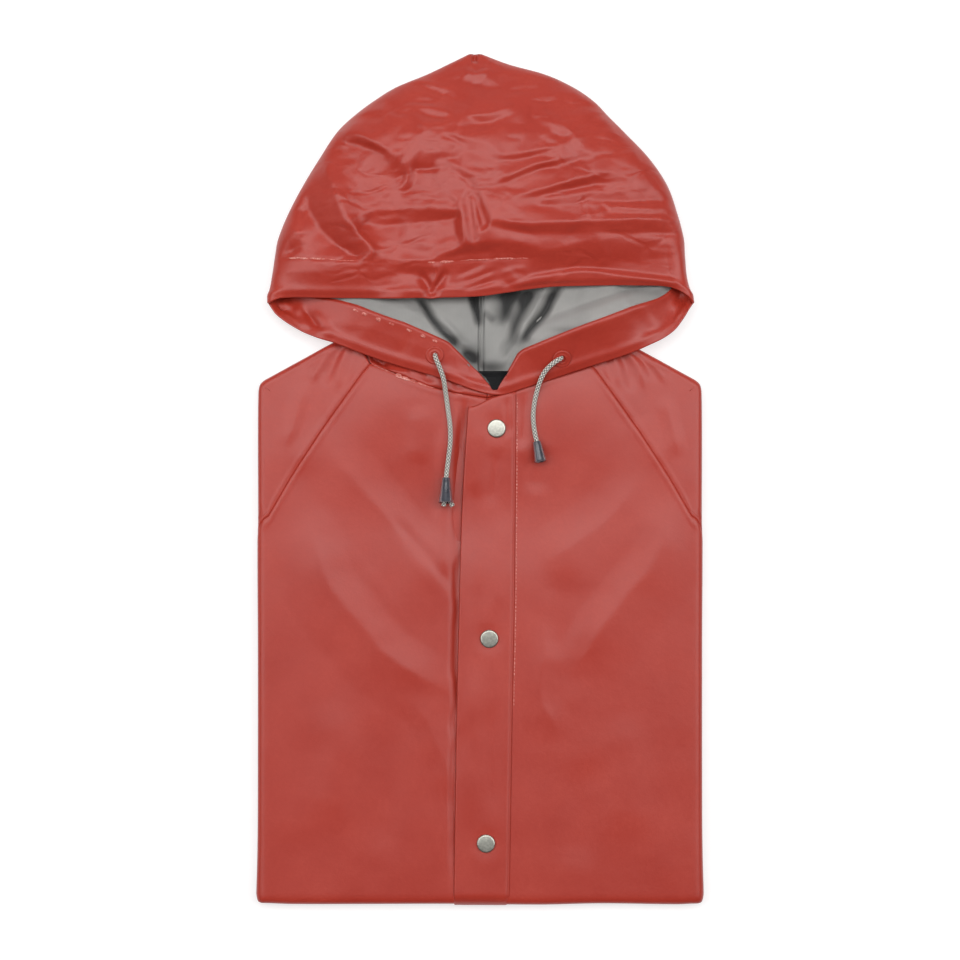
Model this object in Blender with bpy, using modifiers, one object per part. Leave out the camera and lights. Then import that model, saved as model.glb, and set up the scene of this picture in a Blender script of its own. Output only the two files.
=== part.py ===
"""Kids rain jacket in coated fabric, folded and lying flat, front up.

The lower half is folded under at the bottom edge, the sides and sleeves are folded to the back,
and the hood lies open above the shoulders like a pouch, its brim standing clear of its back.
Seen from above, +Y runs from the bottom fold to the crown, and Z = 0 is the surface it lies on.
"""

import math
from collections import namedtuple

import bpy
import bmesh
from mathutils import Matrix, Vector

# Driving dimensions, in millimetres. Meshes are scaled to metres when they are made.
MM = 0.001
CLOTH = 1.0
BACKING = 0.8
TAPE = 0.9
GAP = 0.35
SIDE_GAP = 1.3
FOLD_GAP = 0.6

HALF_WIDTH = 155.3
BOTTOM = -297.2
PILE = 15.0
SIDE_WRAP = math.radians(108)
BOTTOM_WRAP = math.radians(150)
PLACKET_WRAP = math.radians(118)

UPPER_HEM = 27.0
BRIM_Y = 124.0
CROWN_Y = 298.4
RIM_LEFT = -149.0
RIM_WIDTH = 299.0
LIP_REACH = 0.085
LIP_LIFT = 3.5
CORNER_LIFT = 7.5
DOME_FULLNESS = 0.85
SHOULDER_OVERLAP = 15.0
SHOULDER_EASE = 21.0
HOOD_SEAT_GAP = 0.45

SNAP_DIAMETER = 13.0
SNAP_HEIGHT = 1.7
EYELET_DIAMETER = 13.0
EYELET_HOLE = 5.4
CORD_DIAMETER = 3.5

Row = namedtuple("Row", "at value")
Fold = namedtuple("Fold", "x0 y0 x1 y1 width height")

# Thickness of the folded pile, from the bottom fold up to the neck.
PILE_HEIGHT = (Row(-298, PILE), Row(-40, PILE), Row(20, 14.4), Row(80, 11.6), Row(104, 9.6))

# Upper edge of the front panels at the neck seam, from the wearer's right side to the left.
NECK_SEAM = (
    Row(-77, 80.6), Row(-65, 76.3), Row(-52.5, 71.2), Row(-36.4, 65.1), Row(-18.2, 60.4),
    Row(5, 56.6), Row(25, 62.0), Row(35, 65.8), Row(56, 72.8), Row(77, 80.0),
)

# Raglan seam, from the neck seam down to the side edge, where its tip goes round the roll.
RAGLAN_NECK_X = 77.0
RAGLAN_SEAM = (Row(77, 80.6), Row(82, 75.0), Row(111, 34.0), Row(132, 1.5), Row(148, -26.0))
RAGLAN_TIP = 12.0
RAGLAN_FLAT_SHARE = 0.9
RAGLAN_TIP_TURN = 0.82

# Outer edge of the shoulder and side: neck end, shoulder corner, underarm.
SHOULDER_NECK = (89.0, 103.5)
SHOULDER_CORNER = (HALF_WIDTH, 67.0)
SHOULDER_SLOPE = (SHOULDER_NECK[1] - SHOULDER_CORNER[1]) / (SHOULDER_CORNER[0] - SHOULDER_NECK[0])
UNDERARM_Y = -40.0
CORNER_TURN = 9.0
CORNER_PULL = 2.2
NECK_BAND_REACH = 25.0

# Placket: its free edge on the wearer's right and its seam on the left, by distance up.
PLACKET_FREE = (Row(-299, -18.6), Row(-183, -16.9), Row(-85, -14.7), Row(-15, -12.6), Row(50, -8.5))
PLACKET_SEAM = (Row(-299, 20.6), Row(-155, 22.8), Row(-85, 24.2), Row(0, 24.9), Row(62, 25.2))
PLACKET_TOP = (Row(-9, 50.3), Row(-2.8, 51.3), Row(8, 56.8), Row(25.5, 61.6))
FRONT_MEETING_X = 5.0

# Rings of the hood, by distance up its side edges: outline, rise of the dome and edge height.
HoodRing = namedtuple("HoodRing", "at left right dome edge")
HOOD_RINGS = (
    HoodRing(124, -148.9, 149.8, 22.0, 13.0),
    HoodRing(140, -146.2, 145.4, 30.0, 7.5),
    HoodRing(157, -143.8, 143.9, 34.5, 4.6),
    HoodRing(168, -141.8, 143.2, 36.5, 4.0),
    HoodRing(186, -134.6, 138.6, 37.0, 4.0),
    HoodRing(206, -124.1, 131.4, 35.0, 4.0),
    HoodRing(225, -112.5, 118.6, 31.0, 4.0),
    HoodRing(243, -100.6, 101.5, 26.0, 3.8),
    HoodRing(254, -89.4, 90.6, 22.0, 3.5),
    HoodRing(265, -75.0, 80.0, 18.0, 3.2),
    HoodRing(275, -59.0, 65.5, 14.0, 3.0),
    HoodRing(284, -37.5, 46.0, 10.0, 2.8),
    HoodRing(291, -23.0, 21.0, 6.5, 2.6),
    HoodRing(298.4, -8.0, 1.5, 3.0, 2.4),
)

# Rim of the hood at rest: how far the lower rim hangs below the corners, and how far the brim
# arches above them, by place across the hood.
RIM_DROP = (
    Row(-149, 0.0), Row(-142, 9.5), Row(-121, 22.0), Row(-101, 28.3), Row(-69, 40.0),
    Row(-27, 52.6), Row(9.8, 64.4), Row(32, 59.0), Row(67, 47.2), Row(96, 38.0),
    Row(115, 31.0), Row(136, 19.5), Row(150, 0.0),
)
BRIM_ARCH = (
    Row(-149, 0.0), Row(-138, 3.4), Row(-103, 3.0), Row(-64, 2.7), Row(-35, 3.0),
    Row(1, 4.2), Row(17, 6.4), Row(40, 9.8), Row(57, 11.3), Row(117, 11.8),
    Row(136, 9.8), Row(147, 3.6), Row(150, 0.0),
)

# Width of the hem inside the lower rim, measured straight up; its ends meet at the centre front.
MEETING_X = 9.8
HEM_WIDTH = (
    Row(-149, 24.0), Row(-87, 30.0), Row(-54, 29.5), Row(-22, 25.5), Row(-13, 20.0),
    Row(0, 12.0), Row(9.8, 4.0), Row(17, 9.0), Row(24, 17.0), Row(31, 25.0),
    Row(73, 27.0), Row(110, 28.5), Row(150, 24.0),
)

# Largest folds of the hood: the ridge or trough runs from (x0, y0) to (x1, y1).
HOOD_FOLDS = (
    Fold(-99, 244, -59, 222, 9, 2.6),
    Fold(-110, 226, -92, 190, 12, 3.4),
    Fold(-92, 190, -76, 157, 11, 3.0),
    Fold(-84, 213, -64, 206, 8, -2.2),
    Fold(-91, 179, -15, 182, 7, -4.0),
    Fold(-74, 170, -10, 168, 10, 2.4),
    Fold(-55, 201, -20, 195, 7, -2.0),
    Fold(-44, 257, -12, 240, 9, 1.8),
    Fold(-143, 166, -122, 164, 6, 1.8),
    Fold(-9, 205, 6, 176, 6, 2.6),
    Fold(-12, 186, -6, 165, 5, -2.4),
    Fold(-3, 274, 45, 279, 9, 1.6),
    Fold(82, 260, 26, 228, 8, 1.6),
    Fold(14, 204, 63, 218, 7, 1.6),
    Fold(48, 234, 112, 213, 9, -1.8),
    Fold(27, 194, 96, 210, 8, 2.4),
    Fold(76, 196, 117, 197, 7, -1.8),
    Fold(5, 178, 137, 178, 7, -4.4),
    Fold(27, 168, 142, 167, 9, 2.4),
    Fold(36, 156, 126, 152, 10, -2.4),
    Fold(-3, 165, 47, 157, 7, 2.0),
    Fold(-34, 142, -26, 127, 5, 2.2),
)

# Largest folds of the body: soft ridges fanning from the placket and the shoulders.
BODY_FOLDS = (
    Fold(-125, -48, -60, -145, 16, 1.1),
    Fold(-52, -46, -24, -96, 10, 0.8),
    Fold(112, -46, 66, -112, 15, 1.1),
    Fold(-112, 84, -96, 64, 9, 0.9),
    Fold(100, 84, 116, 62, 9, 0.9),
    Fold(-30, 44, -22, -40, 7, 1.0),
)

# Steps of the hood's grid: over the dome, across the lower layer, round each side edge, and
# rings over the hem, over the rest of the hood and over the lining.
UPPER_STEPS = 34
LOWER_STEPS = 24
EDGE_STEPS = 3
HEM_RINGS = 4
DOME_RINGS = 20
LINING_RINGS = 9
RING_CROWDING = 1.05
FIRST_LOWER = UPPER_STEPS + 1 + EDGE_STEPS
HEM_BLEND = 2.5

# Neck tape that shows between the two ends of the hem: distance up, left and right edge.
LabelRow = namedtuple("LabelRow", "at left right")
LABEL_ROWS = (
    LabelRow(74.4, 1.5, 18.6), LabelRow(71.2, 4.0, 16.6),
    LabelRow(68.0, 6.4, 14.4), LabelRow(65.4, 8.0, 12.6),
)

SNAPS = (("snap_1", 11.6, 35.3), ("snap_2", 6.5, -111.7), ("snap_3", 4.2, -254.7))
EYELETS = (("eyelet_right", -31.6, 86.6), ("eyelet_left", 56.8, 84.4))

# Drawcords: points along the middle of each cord, from its eyelet to its cord end.
CordPoint = namedtuple("CordPoint", "x y z")
CORD_ROUTES = {
    "drawcord_right": (
        CordPoint(-31.6, 87.0, 16.5), CordPoint(-31.2, 85.6, 18.6), CordPoint(-30.2, 82.6, 20.6),
        CordPoint(-28.4, 78.4, 21.8), CordPoint(-26.6, 73.6, 21.6), CordPoint(-25.2, 68.6, 20.2),
        CordPoint(-24.2, 62.0, 17.7), CordPoint(-23.3, 55.5, 15.9), CordPoint(-22.3, 48.0, 15.7),
        CordPoint(-20.9, 37.0, 16.2), CordPoint(-20.8, 26.0, 16.8), CordPoint(-22.1, 14.0, 17.4),
        CordPoint(-22.9, 7.5, 17.9), CordPoint(-23.6, 1.3, 18.6),
    ),
    "drawcord_left": (
        CordPoint(56.8, 84.8, 17.1), CordPoint(56.0, 83.9, 19.2), CordPoint(53.6, 82.4, 21.0),
        CordPoint(49.6, 79.5, 22.2), CordPoint(45.7, 75.4, 22.4), CordPoint(42.9, 70.6, 21.6),
        CordPoint(40.8, 65.0, 19.6), CordPoint(39.2, 59.0, 17.2), CordPoint(38.0, 53.0, 15.8),
        CordPoint(37.2, 46.0, 15.7), CordPoint(37.3, 40.0, 15.9), CordPoint(38.1, 33.4, 16.3),
        CordPoint(39.5, 26.6, 17.3),
    ),
}
# Cord ends: top and bottom of the axis, with the radius at each.
CordEnd = namedtuple("CordEnd", "name top bottom top_radius bottom_radius")
CORD_ENDS = (
    CordEnd("cord_end_right", (-23.7, 0.9, 18.9), (-23.9, -16.6, 21.6), 2.9, 5.2),
    CordEnd("cord_end_left", (39.6, 26.2, 17.6), (42.3, 12.0, 19.4), 2.9, 4.3),
)

# Seen colours of the materials: colour, roughness, metallic.
Finish = namedtuple("Finish", "colour roughness metallic")
FINISHES = {
    "pvc_red": Finish((0.445, 0.065, 0.050), 0.42, 0.0),
    "backing_grey": Finish((0.300, 0.300, 0.285), 0.75, 0.0),
    "tape_black": Finish((0.012, 0.012, 0.014), 0.60, 0.0),
    "snap_nickel": Finish((0.620, 0.630, 0.590), 0.30, 1.0),
    "cord_grey": Finish((0.500, 0.490, 0.440), 0.80, 0.0),
    "cord_end_smoke": Finish((0.090, 0.095, 0.110), 0.25, 0.0),
}


def clear_scene():
    for item in list(bpy.data.objects):
        bpy.data.objects.remove(item, do_unlink=True)


def make_material(name):
    finish = FINISHES[name]
    material = bpy.data.materials.new(name)
    material.use_nodes = True
    shader = material.node_tree.nodes["Principled BSDF"]
    shader.inputs["Base Color"].default_value = (*finish.colour, 1.0)
    shader.inputs["Roughness"].default_value = finish.roughness
    shader.inputs["Metallic"].default_value = finish.metallic
    return material


def read(rows, at, column="value"):
    """A smooth curve through the rows of a table, read at one place; flat past its ends."""
    if at <= rows[0].at:
        return getattr(rows[0], column)
    if at >= rows[-1].at:
        return getattr(rows[-1], column)
    k = next(i for i in range(len(rows) - 1) if at <= rows[i + 1].at)

    def slope(i):
        low, high = rows[max(i - 1, 0)], rows[min(i + 1, len(rows) - 1)]
        return (getattr(high, column) - getattr(low, column)) / (high.at - low.at)

    step = rows[k + 1].at - rows[k].at
    t = (at - rows[k].at) / step
    start, end = getattr(rows[k], column), getattr(rows[k + 1], column)
    return (
        start * (2 * t**3 - 3 * t**2 + 1) + end * (3 * t**2 - 2 * t**3)
        + step * (slope(k) * (t**3 - 2 * t**2 + t) + slope(k + 1) * (t**3 - t**2))
    )


def straight(rows, at):
    """Straight runs between the rows of a table, for an edge with corners."""
    for low, high in zip(rows, rows[1:]):
        if at <= high.at:
            share = max(0.0, (at - low.at) / (high.at - low.at))
            return low.value + (high.value - low.value) * share
    return rows[-1].value


def smooth_step(share):
    share = min(1.0, max(0.0, share))
    return share * share * (3 - 2 * share)


def folds_at(folds, x, y):
    """Height that a table of folds adds at one place: soft across, fading out at both ends."""
    height = 0.0
    for fold in folds:
        along = Vector((fold.x1 - fold.x0, fold.y1 - fold.y0))
        offset = Vector((x - fold.x0, y - fold.y0))
        share = offset.dot(along) / along.length_squared
        across = abs(along.x * offset.y - along.y * offset.x) / along.length
        end = smooth_step((share + 0.15) / 0.35) * smooth_step((1.15 - share) / 0.35)
        height += fold.height * end * math.exp(-((across / fold.width) ** 2))
    return height


def body_top(x, y):
    """Outer face of the front of the body."""
    return read(PILE_HEIGHT, y) + folds_at(BODY_FOLDS, x, y)


def roll_radius(y):
    return 0.49 * read(PILE_HEIGHT, y)


def outer_edge(share):
    """The sleeve's outer edge from the neck to the underarm, its corner rounded: place, inward way."""
    neck, corner = Vector(SHOULDER_NECK), Vector(SHOULDER_CORNER)
    underarm = Vector((HALF_WIDTH, UNDERARM_Y))
    lengths = ((corner - neck).length, (underarm - corner).length)
    along = share * sum(lengths)
    slope_in = Vector((neck.y - corner.y, corner.x - neck.x)).normalized() * -1
    side_in = Vector((-1.0, 0.0))
    blend = smooth_step((along - lengths[0] + CORNER_TURN) / (2 * CORNER_TURN))
    inward = (slope_in * (1 - blend) + side_in * blend).normalized()
    if along < lengths[0]:
        place = neck + (corner - neck) * (along / lengths[0])
    else:
        place = corner + (underarm - corner) * ((along - lengths[0]) / lengths[1])
    pull = max(0.0, 1 - abs(along - lengths[0]) / CORNER_TURN)
    return place + inward * (CORNER_PULL * pull * pull), inward


def make_object(name, points, faces, material, collection):
    mesh = bpy.data.meshes.new(name)
    mesh.from_pydata([tuple(Vector(point) * MM) for point in points], [], faces)
    mesh.materials.append(material)
    mesh.shade_smooth()
    item = bpy.data.objects.new(name, mesh)
    collection.objects.link(item)
    return item


def make_sheet(name, rows, material, collection, thickness=CLOTH):
    """An open grid of points, bent by its rows, with a wall built inward from its outer face."""
    columns = len(rows[0])
    grid = bmesh.new()
    bmesh.ops.create_grid(grid, x_segments=columns - 1, y_segments=len(rows) - 1, size=1.0)
    grid.verts.ensure_lookup_table()
    for j, row in enumerate(rows):
        for i, point in enumerate(row):
            grid.verts[j * columns + i].co = Vector(point) * MM
    mesh = bpy.data.meshes.new(name)
    grid.to_mesh(mesh)
    grid.free()
    mesh.materials.append(material)
    mesh.shade_smooth()
    item = bpy.data.objects.new(name, mesh)
    collection.objects.link(item)
    wall = item.modifiers.new("wall", "SOLIDIFY")
    wall.thickness = thickness * MM
    wall.offset = -1.0
    wall.use_even_offset = False
    return item


def roll_out(core, side, side_share, down_share):
    """A point of the body's rolled edge: how far round the side and round the bottom fold it is."""
    radius = roll_radius(core.y)
    turn = max(side_share, down_share)
    top = body_top(core.x, core.y)
    if turn <= 0:
        return Vector((core.x, core.y, top))
    way = Vector((side * side_share, -down_share)).normalized()
    wrap = SIDE_WRAP * way.x**2 + BOTTOM_WRAP * way.y**2
    angle = wrap * turn
    out = way * radius * math.sin(angle)
    return Vector((core.x + out.x, core.y + out.y, top - radius + radius * math.cos(angle)))


def front_rows(side):
    """Grid of one front panel: from the centre to round the side, from its top to round the fold."""
    flat_x = [FRONT_MEETING_X + side * GAP / 2]
    steps_neck, steps_raglan, steps_roll = 6, 7, 6
    reach = HALF_WIDTH - roll_radius(BOTTOM)
    for i in range(1, steps_neck + 1):
        flat_x.append(flat_x[0] + (side * RAGLAN_NECK_X - flat_x[0]) * i / steps_neck)
    for i in range(1, steps_raglan + 1):
        flat_x.append(side * (RAGLAN_NECK_X + (reach - RAGLAN_NECK_X) * i / steps_raglan))
    columns = [(x, 0.0) for x in flat_x]
    columns += [(flat_x[-1], i / steps_roll) for i in range(1, steps_roll + 1)]
    steps_down = 18
    rows = [[] for _ in range(steps_down + 1 + steps_roll)]
    bottom_core = BOTTOM + roll_radius(BOTTOM)
    for x, side_share in columns:
        if abs(x) <= RAGLAN_NECK_X:
            top = straight(NECK_SEAM, x)
        else:
            top = straight(RAGLAN_SEAM, abs(x))
        top -= GAP + side_share * RAGLAN_TIP
        for j in range(steps_down + 1):
            core = Vector((x, top + (bottom_core - top) * j / steps_down))
            rows[j].append(roll_out(core, side, side_share, 0.0))
        for j in range(1, steps_roll + 1):
            core = Vector((x, bottom_core))
            rows[steps_down + j].append(roll_out(core, side, side_share, j / steps_roll))
    return rows


def make_front(name, side, material, collection):
    rows = front_rows(side)
    if side > 0:
        rows = [list(reversed(row)) for row in rows]
    return make_sheet(name, rows, material, collection)


def seam_point(share, side):
    """A point on the sleeve's side of the raglan seam: place on the flat, and share of the side roll."""
    reach = HALF_WIDTH - roll_radius(BOTTOM)
    if share <= RAGLAN_FLAT_SHARE:
        x = RAGLAN_NECK_X + (reach - RAGLAN_NECK_X) * share / RAGLAN_FLAT_SHARE
        return Vector((side * x, straight(RAGLAN_SEAM, x))), 0.0
    roll = (share - RAGLAN_FLAT_SHARE) / (1 - RAGLAN_FLAT_SHARE) * RAGLAN_TIP_TURN
    return Vector((side * reach, straight(RAGLAN_SEAM, reach) - roll * RAGLAN_TIP)), roll


def make_sleeve(name, side, material, collection):
    """The shoulder part of a raglan sleeve, from its seam to round the outer edge."""
    steps_along, steps_out, half = 12, 12, 6
    least_arc_share = 0.35
    rows = []
    for j in range(steps_along + 1):
        share = j / steps_along
        seam, roll = seam_point(share, side)
        edge, inward = outer_edge(share)
        edge = Vector((side * edge.x, edge.y))
        inward = Vector((side * inward.x, inward.y))
        radius = roll_radius(edge.y)
        core = edge + inward * radius
        if roll > 0:
            core = Vector((core.x, seam.y))
        flat = (core - seam).length if roll == 0 else 0.0
        start = SIDE_WRAP * roll
        arc = radius * (SIDE_WRAP - start)
        split = max(flat, least_arc_share * arc)
        row = []
        for i in range(steps_out + 1):
            if i <= half:
                spot = split * i / half
            else:
                spot = split + (flat + arc - split) * (i - half) / (steps_out - half)
            if spot < flat:
                place = seam + (core - seam) * (spot / flat)
                row.append(Vector((place.x, place.y, body_top(place.x, place.y))))
            else:
                angle = start + (spot - flat) / radius
                place = core - inward * radius * math.sin(angle)
                height = body_top(core.x, core.y) - radius + radius * math.cos(angle)
                row.append(Vector((place.x, place.y, height)))
        rows.append(row)
    if side > 0:
        rows = [list(reversed(row)) for row in rows]
    return make_sheet(name, rows, material, collection)


def edge_x(y):
    """Half width of the folded body at one height, read along its rounded outer edge."""
    if y <= SHOULDER_CORNER[1] - CORNER_TURN - 3.0:
        return HALF_WIDTH, 1.0
    steps = 80
    places = [outer_edge(i / steps)[0] for i in range(steps + 1)]
    for upper, lower in zip(places, places[1:]):
        if lower.y <= y <= upper.y:
            run = (upper.y - y) / (upper.y - lower.y)
            stretch = math.hypot(lower.x - upper.x, lower.y - upper.y) / (upper.y - lower.y)
            return upper.x + (lower.x - upper.x) * run, stretch
    return places[0].x, math.hypot(1.0, 1.0 / SHOULDER_SLOPE)


# Side of the hidden pile: the lower layers bulge out in one roll, at its full thickness.
SidePoint = namedtuple("SidePoint", "inset height")
LOWER_ROLL = (
    SidePoint(4.2, 0.0), SidePoint(1.9, 0.6), SidePoint(0.6, 1.9), SidePoint(0.35, 3.3), SidePoint(1.1, 4.6),
)
UPPER_ROLL_TURNS = (112, 92, 70, 48, 24)
FOLD_TURNS = (165, 145, 125, 105, 90, 90, 75, 58, 40, 20)


def side_profile(y, radius):
    """Edge of the hidden pile: a lower roll of layers, a crease, and the roll inside the panels."""
    height = read(PILE_HEIGHT, y)
    scale = height / PILE
    profile = [SidePoint(point.inset * scale, point.height * scale) for point in LOWER_ROLL]
    inner = radius - CLOTH - SIDE_GAP
    for degrees in UPPER_ROLL_TURNS:
        turn = math.radians(degrees)
        profile.append(SidePoint(radius - inner * math.sin(turn), height - radius + inner * math.cos(turn)))
    return profile


def fold_profile(y, radius, span):
    """Edge of the hidden pile inside the bottom fold, a half round as high as the fold is there."""
    low, high = radius - span, read(PILE_HEIGHT, y) - radius + span
    profile = []
    for degrees in FOLD_TURNS:
        turn = math.radians(degrees)
        height = (low + high) / 2 + (high - low) / 2 * math.cos(turn)
        profile.append(SidePoint(radius - span * math.sin(turn), height))
    return profile, low, high


def make_hidden_layers(material, collection):
    """The folded back, sleeves and lower half as one rounded solid, flat underneath, layered at the sides."""
    radius = roll_radius(BOTTOM)
    inner = radius - CLOTH - FOLD_GAP
    core = BOTTOM + radius
    straight_start, straight_end, straight_steps = core + 6.0, 40.0, 7
    round_start, squeeze_start, top_y, top_share = 50.0, 90.0, 100.5, 0.25
    seat_y, tuck, tuck_lift = core + 3.5, 1.4, 0.8
    top_steps = 12
    heights = [core - inner * math.cos(math.radians(degrees)) for degrees in (8, 24, 42, 60, 78)]
    heights += [core + 2.0, straight_start]
    run = straight_end - straight_start
    heights += [straight_start + run * i / straight_steps for i in range(1, straight_steps + 1)]
    heights += [55.0, 61.0, 65.0, 69.0, 74.0, 80.0, 86.0, 92.0, 97.0, top_y]
    rings = []
    for y in heights:
        half, stretch = edge_x(y)
        if y < core:
            span = math.sqrt(inner**2 - (core - y) ** 2)
            sides, floor, high = fold_profile(y, radius, span)
        else:
            sides = side_profile(y, roll_radius(y))
            if y > round_start:
                sides = [SidePoint(inset + FOLD_GAP, z) for inset, z in sides]
            high = read(PILE_HEIGHT, y) - CLOTH - FOLD_GAP
            floor = 0.0
            if y < seat_y:
                floor = tuck_lift
                sides = [SidePoint(inset + tuck, max(z, floor)) for inset, z in sides]
        if y > squeeze_start:
            squeeze = 1 - (1 - top_share) * smooth_step((y - squeeze_start) / (top_y - squeeze_start))
            sides = [SidePoint(inset + (1 - squeeze) * 3.0, z * squeeze) for inset, z in sides]
            high = high * squeeze
        right = [Vector((half - inset * stretch, y, z)) for inset, z in sides]
        left = [Vector((-point.x, y, point.z)) for point in reversed(right)]
        reach = right[-1].x
        across = [reach - 2 * reach * i / top_steps for i in range(1, top_steps)]
        top_line = [Vector((x, y, high)) for x in across]
        rings.append([Vector((0.0, y, right[0].z if y < core else floor))] + right + top_line + left)
    count = len(rings[0])
    points = [point for ring in rings for point in ring]
    faces = []
    for k in range(len(rings) - 1):
        for m in range(count):
            n = (m + 1) % count
            faces.append((k * count + m, k * count + n, (k + 1) * count + n, (k + 1) * count + m))
    faces.append(tuple(reversed(range(count))))
    last = (len(rings) - 1) * count
    faces.append(tuple(range(last, last + count)))
    item = make_object("hidden_layers", points, faces, material, collection)
    face_out(item)
    return item


def face_out(item):
    work = bmesh.new()
    work.from_mesh(item.data)
    bmesh.ops.recalc_face_normals(work, faces=work.faces)
    work.to_mesh(item.data)
    work.free()


def make_placket(material, collection):
    """The storm placket over the front opening, round the bottom fold, sewn along one side."""
    lift = CLOTH + GAP
    radius = roll_radius(BOTTOM)
    core_y = BOTTOM + radius
    steps_across, steps_down, steps_roll = 5, 18, 6
    top_free, top_seam = PLACKET_FREE[-1].value, read(PLACKET_SEAM, 60)
    rows = []
    for j in range(steps_down + steps_roll + 1):
        row = []
        for i in range(steps_across + 1):
            share = i / steps_across
            down = min(1.0, j / steps_down)
            top = read(PLACKET_TOP, top_free + (top_seam - top_free) * share)
            y = top + (core_y - top) * down
            left, right = read(PLACKET_FREE, y), read(PLACKET_SEAM, y)
            x = left + (right - left) * share
            turn = PLACKET_WRAP * max(0, j - steps_down) / steps_roll
            reach = radius + lift
            height = body_top(x, y) - radius + reach * math.cos(turn)
            row.append(Vector((x, y - reach * math.sin(turn), height)))
        rows.append(row)
    return make_sheet("placket", rows[::-1], material, collection)


def make_neck_band(name, side, material, collection):
    """The lower edge of the hood at the neck seam, tucked in under the rim."""
    steps_out, steps_deep = 9, 5
    narrowing, flare = 0.6, 0.35
    rows = []
    start, end = FRONT_MEETING_X + side * GAP, side * (RAGLAN_NECK_X - CLOTH + GAP)
    for j in range(steps_deep + 1):
        row = []
        for i in range(steps_out + 1):
            share = i / steps_out
            x = start + (end - start) * share
            reach = NECK_BAND_REACH * j / steps_deep * (1 - narrowing * share)
            y = straight(NECK_SEAM, x) + GAP + reach
            x += reach * flare * side * share
            row.append(Vector((x, y, body_top(x, y))))
        rows.append(row)
    if side < 0:
        rows = rows[::-1]
    return make_sheet(name, rows, material, collection)


# The hood. A place on it is a share of the way from rim to crown, a share across from the
# wearer's right side edge to the left, and the layer: the upper dome or the lower back.

def ring_height(share):
    return BRIM_Y + (CROWN_Y - BRIM_Y) * math.sin(0.5 * math.pi * share)


def shoulder_line(x):
    return SHOULDER_NECK[1] - max(0.0, abs(x) - SHOULDER_NECK[0]) * SHOULDER_SLOPE


def hood_rest(x, y):
    """Underside of the hood's lower layer: over the neck of the pile, then down on the floor."""
    share = smooth_step((shoulder_line(x) + SHOULDER_OVERLAP - y) / SHOULDER_EASE)
    return share * (read(PILE_HEIGHT, y) + HOOD_SEAT_GAP)


def rim_place(across):
    """Where a share across the hood lies on the scale of the rim's tables."""
    return RIM_LEFT + RIM_WIDTH * across


def lower_point(share, across):
    y_side = ring_height(share)
    left = read(HOOD_RINGS, y_side, "left")
    right = read(HOOD_RINGS, y_side, "right")
    edge = read(HOOD_RINGS, y_side, "edge")
    x = left + (right - left) * across
    y = y_side - read(RIM_DROP, rim_place(across)) * (1 - share) ** 2
    fade = max(0.0, 1 - share / LIP_REACH) ** 2
    side = abs(2 * across - 1)
    z = hood_rest(x, y) + (LIP_LIFT + CORNER_LIFT * side**3) * fade
    inset = min(x - left, right - x)
    if inset < edge:
        z = max(z, edge - math.sqrt(max(0.0, edge**2 - (edge - inset) ** 2)))
    return Vector((x, y, z))


def upper_point(share, turn):
    """turn runs from 0 at the wearer's right side edge to pi at the left."""
    y_side = ring_height(share)
    left = read(HOOD_RINGS, y_side, "left")
    right = read(HOOD_RINGS, y_side, "right")
    across = (1 - math.cos(turn)) / 2
    x = left + (right - left) * across
    y = y_side + read(BRIM_ARCH, rim_place(across)) * (1 - share) ** 3
    rise = math.sin(turn)
    z = read(HOOD_RINGS, y_side, "edge") + read(HOOD_RINGS, y_side, "dome") * rise**DOME_FULLNESS
    z += folds_at(HOOD_FOLDS, x, y) * min(1.0, 1.6 * rise) ** 2
    return Vector((x, y, z))


def upper_hem_share():
    return 2 / math.pi * math.asin(UPPER_HEM / (CROWN_Y - BRIM_Y))


def lower_hem_share(across):
    place = rim_place(across)
    slope = (CROWN_Y - BRIM_Y) * 0.5 * math.pi + 2 * read(RIM_DROP, place)
    return read(HEM_WIDTH, place) / slope


def ring_samples():
    """Places round one ring: (layer, place), up over the dome and back along the lower layer."""
    samples = [("upper", math.pi * i / UPPER_STEPS) for i in range(UPPER_STEPS + 1)]
    samples += [("edge_right", (i + 1) / (EDGE_STEPS + 1)) for i in range(EDGE_STEPS)]
    samples += [("lower", 1 - i / LOWER_STEPS) for i in range(LOWER_STEPS + 1)]
    samples += [("edge_left", 1 - (i + 1) / (EDGE_STEPS + 1)) for i in range(EDGE_STEPS)]
    return samples


def sample_point(sample, ring, total):
    """A point of the hood's outer face. Rings up to HEM_RINGS share out the hem."""
    layer, place = sample
    if layer == "upper":
        hem = upper_hem_share()
        end = lower_hem_share(0.0)
        mix = smooth_step(math.sin(place) * HEM_BLEND)
        hem = end + (hem - end) * mix
    else:
        across = {"edge_right": 1.0, "edge_left": 0.0}.get(layer, place)
        hem = lower_hem_share(across)
    if ring <= HEM_RINGS:
        share = hem * ring / HEM_RINGS
    else:
        share = hem + (1 - hem) * ((ring - HEM_RINGS) / (total - HEM_RINGS)) ** RING_CROWDING
    if layer == "upper":
        return upper_point(share, place)
    y_side = ring_height(share)
    left = read(HOOD_RINGS, y_side, "left")
    right = read(HOOD_RINGS, y_side, "right")
    edge = read(HOOD_RINGS, y_side, "edge") / (right - left)
    if layer == "lower":
        return lower_point(share, edge + (1 - 2 * edge) * place)
    inset = edge * (1 - math.cos(0.5 * math.pi * place))
    return lower_point(share, 1 - inset if layer == "edge_right" else inset)


def hood_grid():
    total = HEM_RINGS + DOME_RINGS
    samples = ring_samples()
    return [[sample_point(sample, ring, total) for sample in samples] for ring in range(total + 1)]


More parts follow.
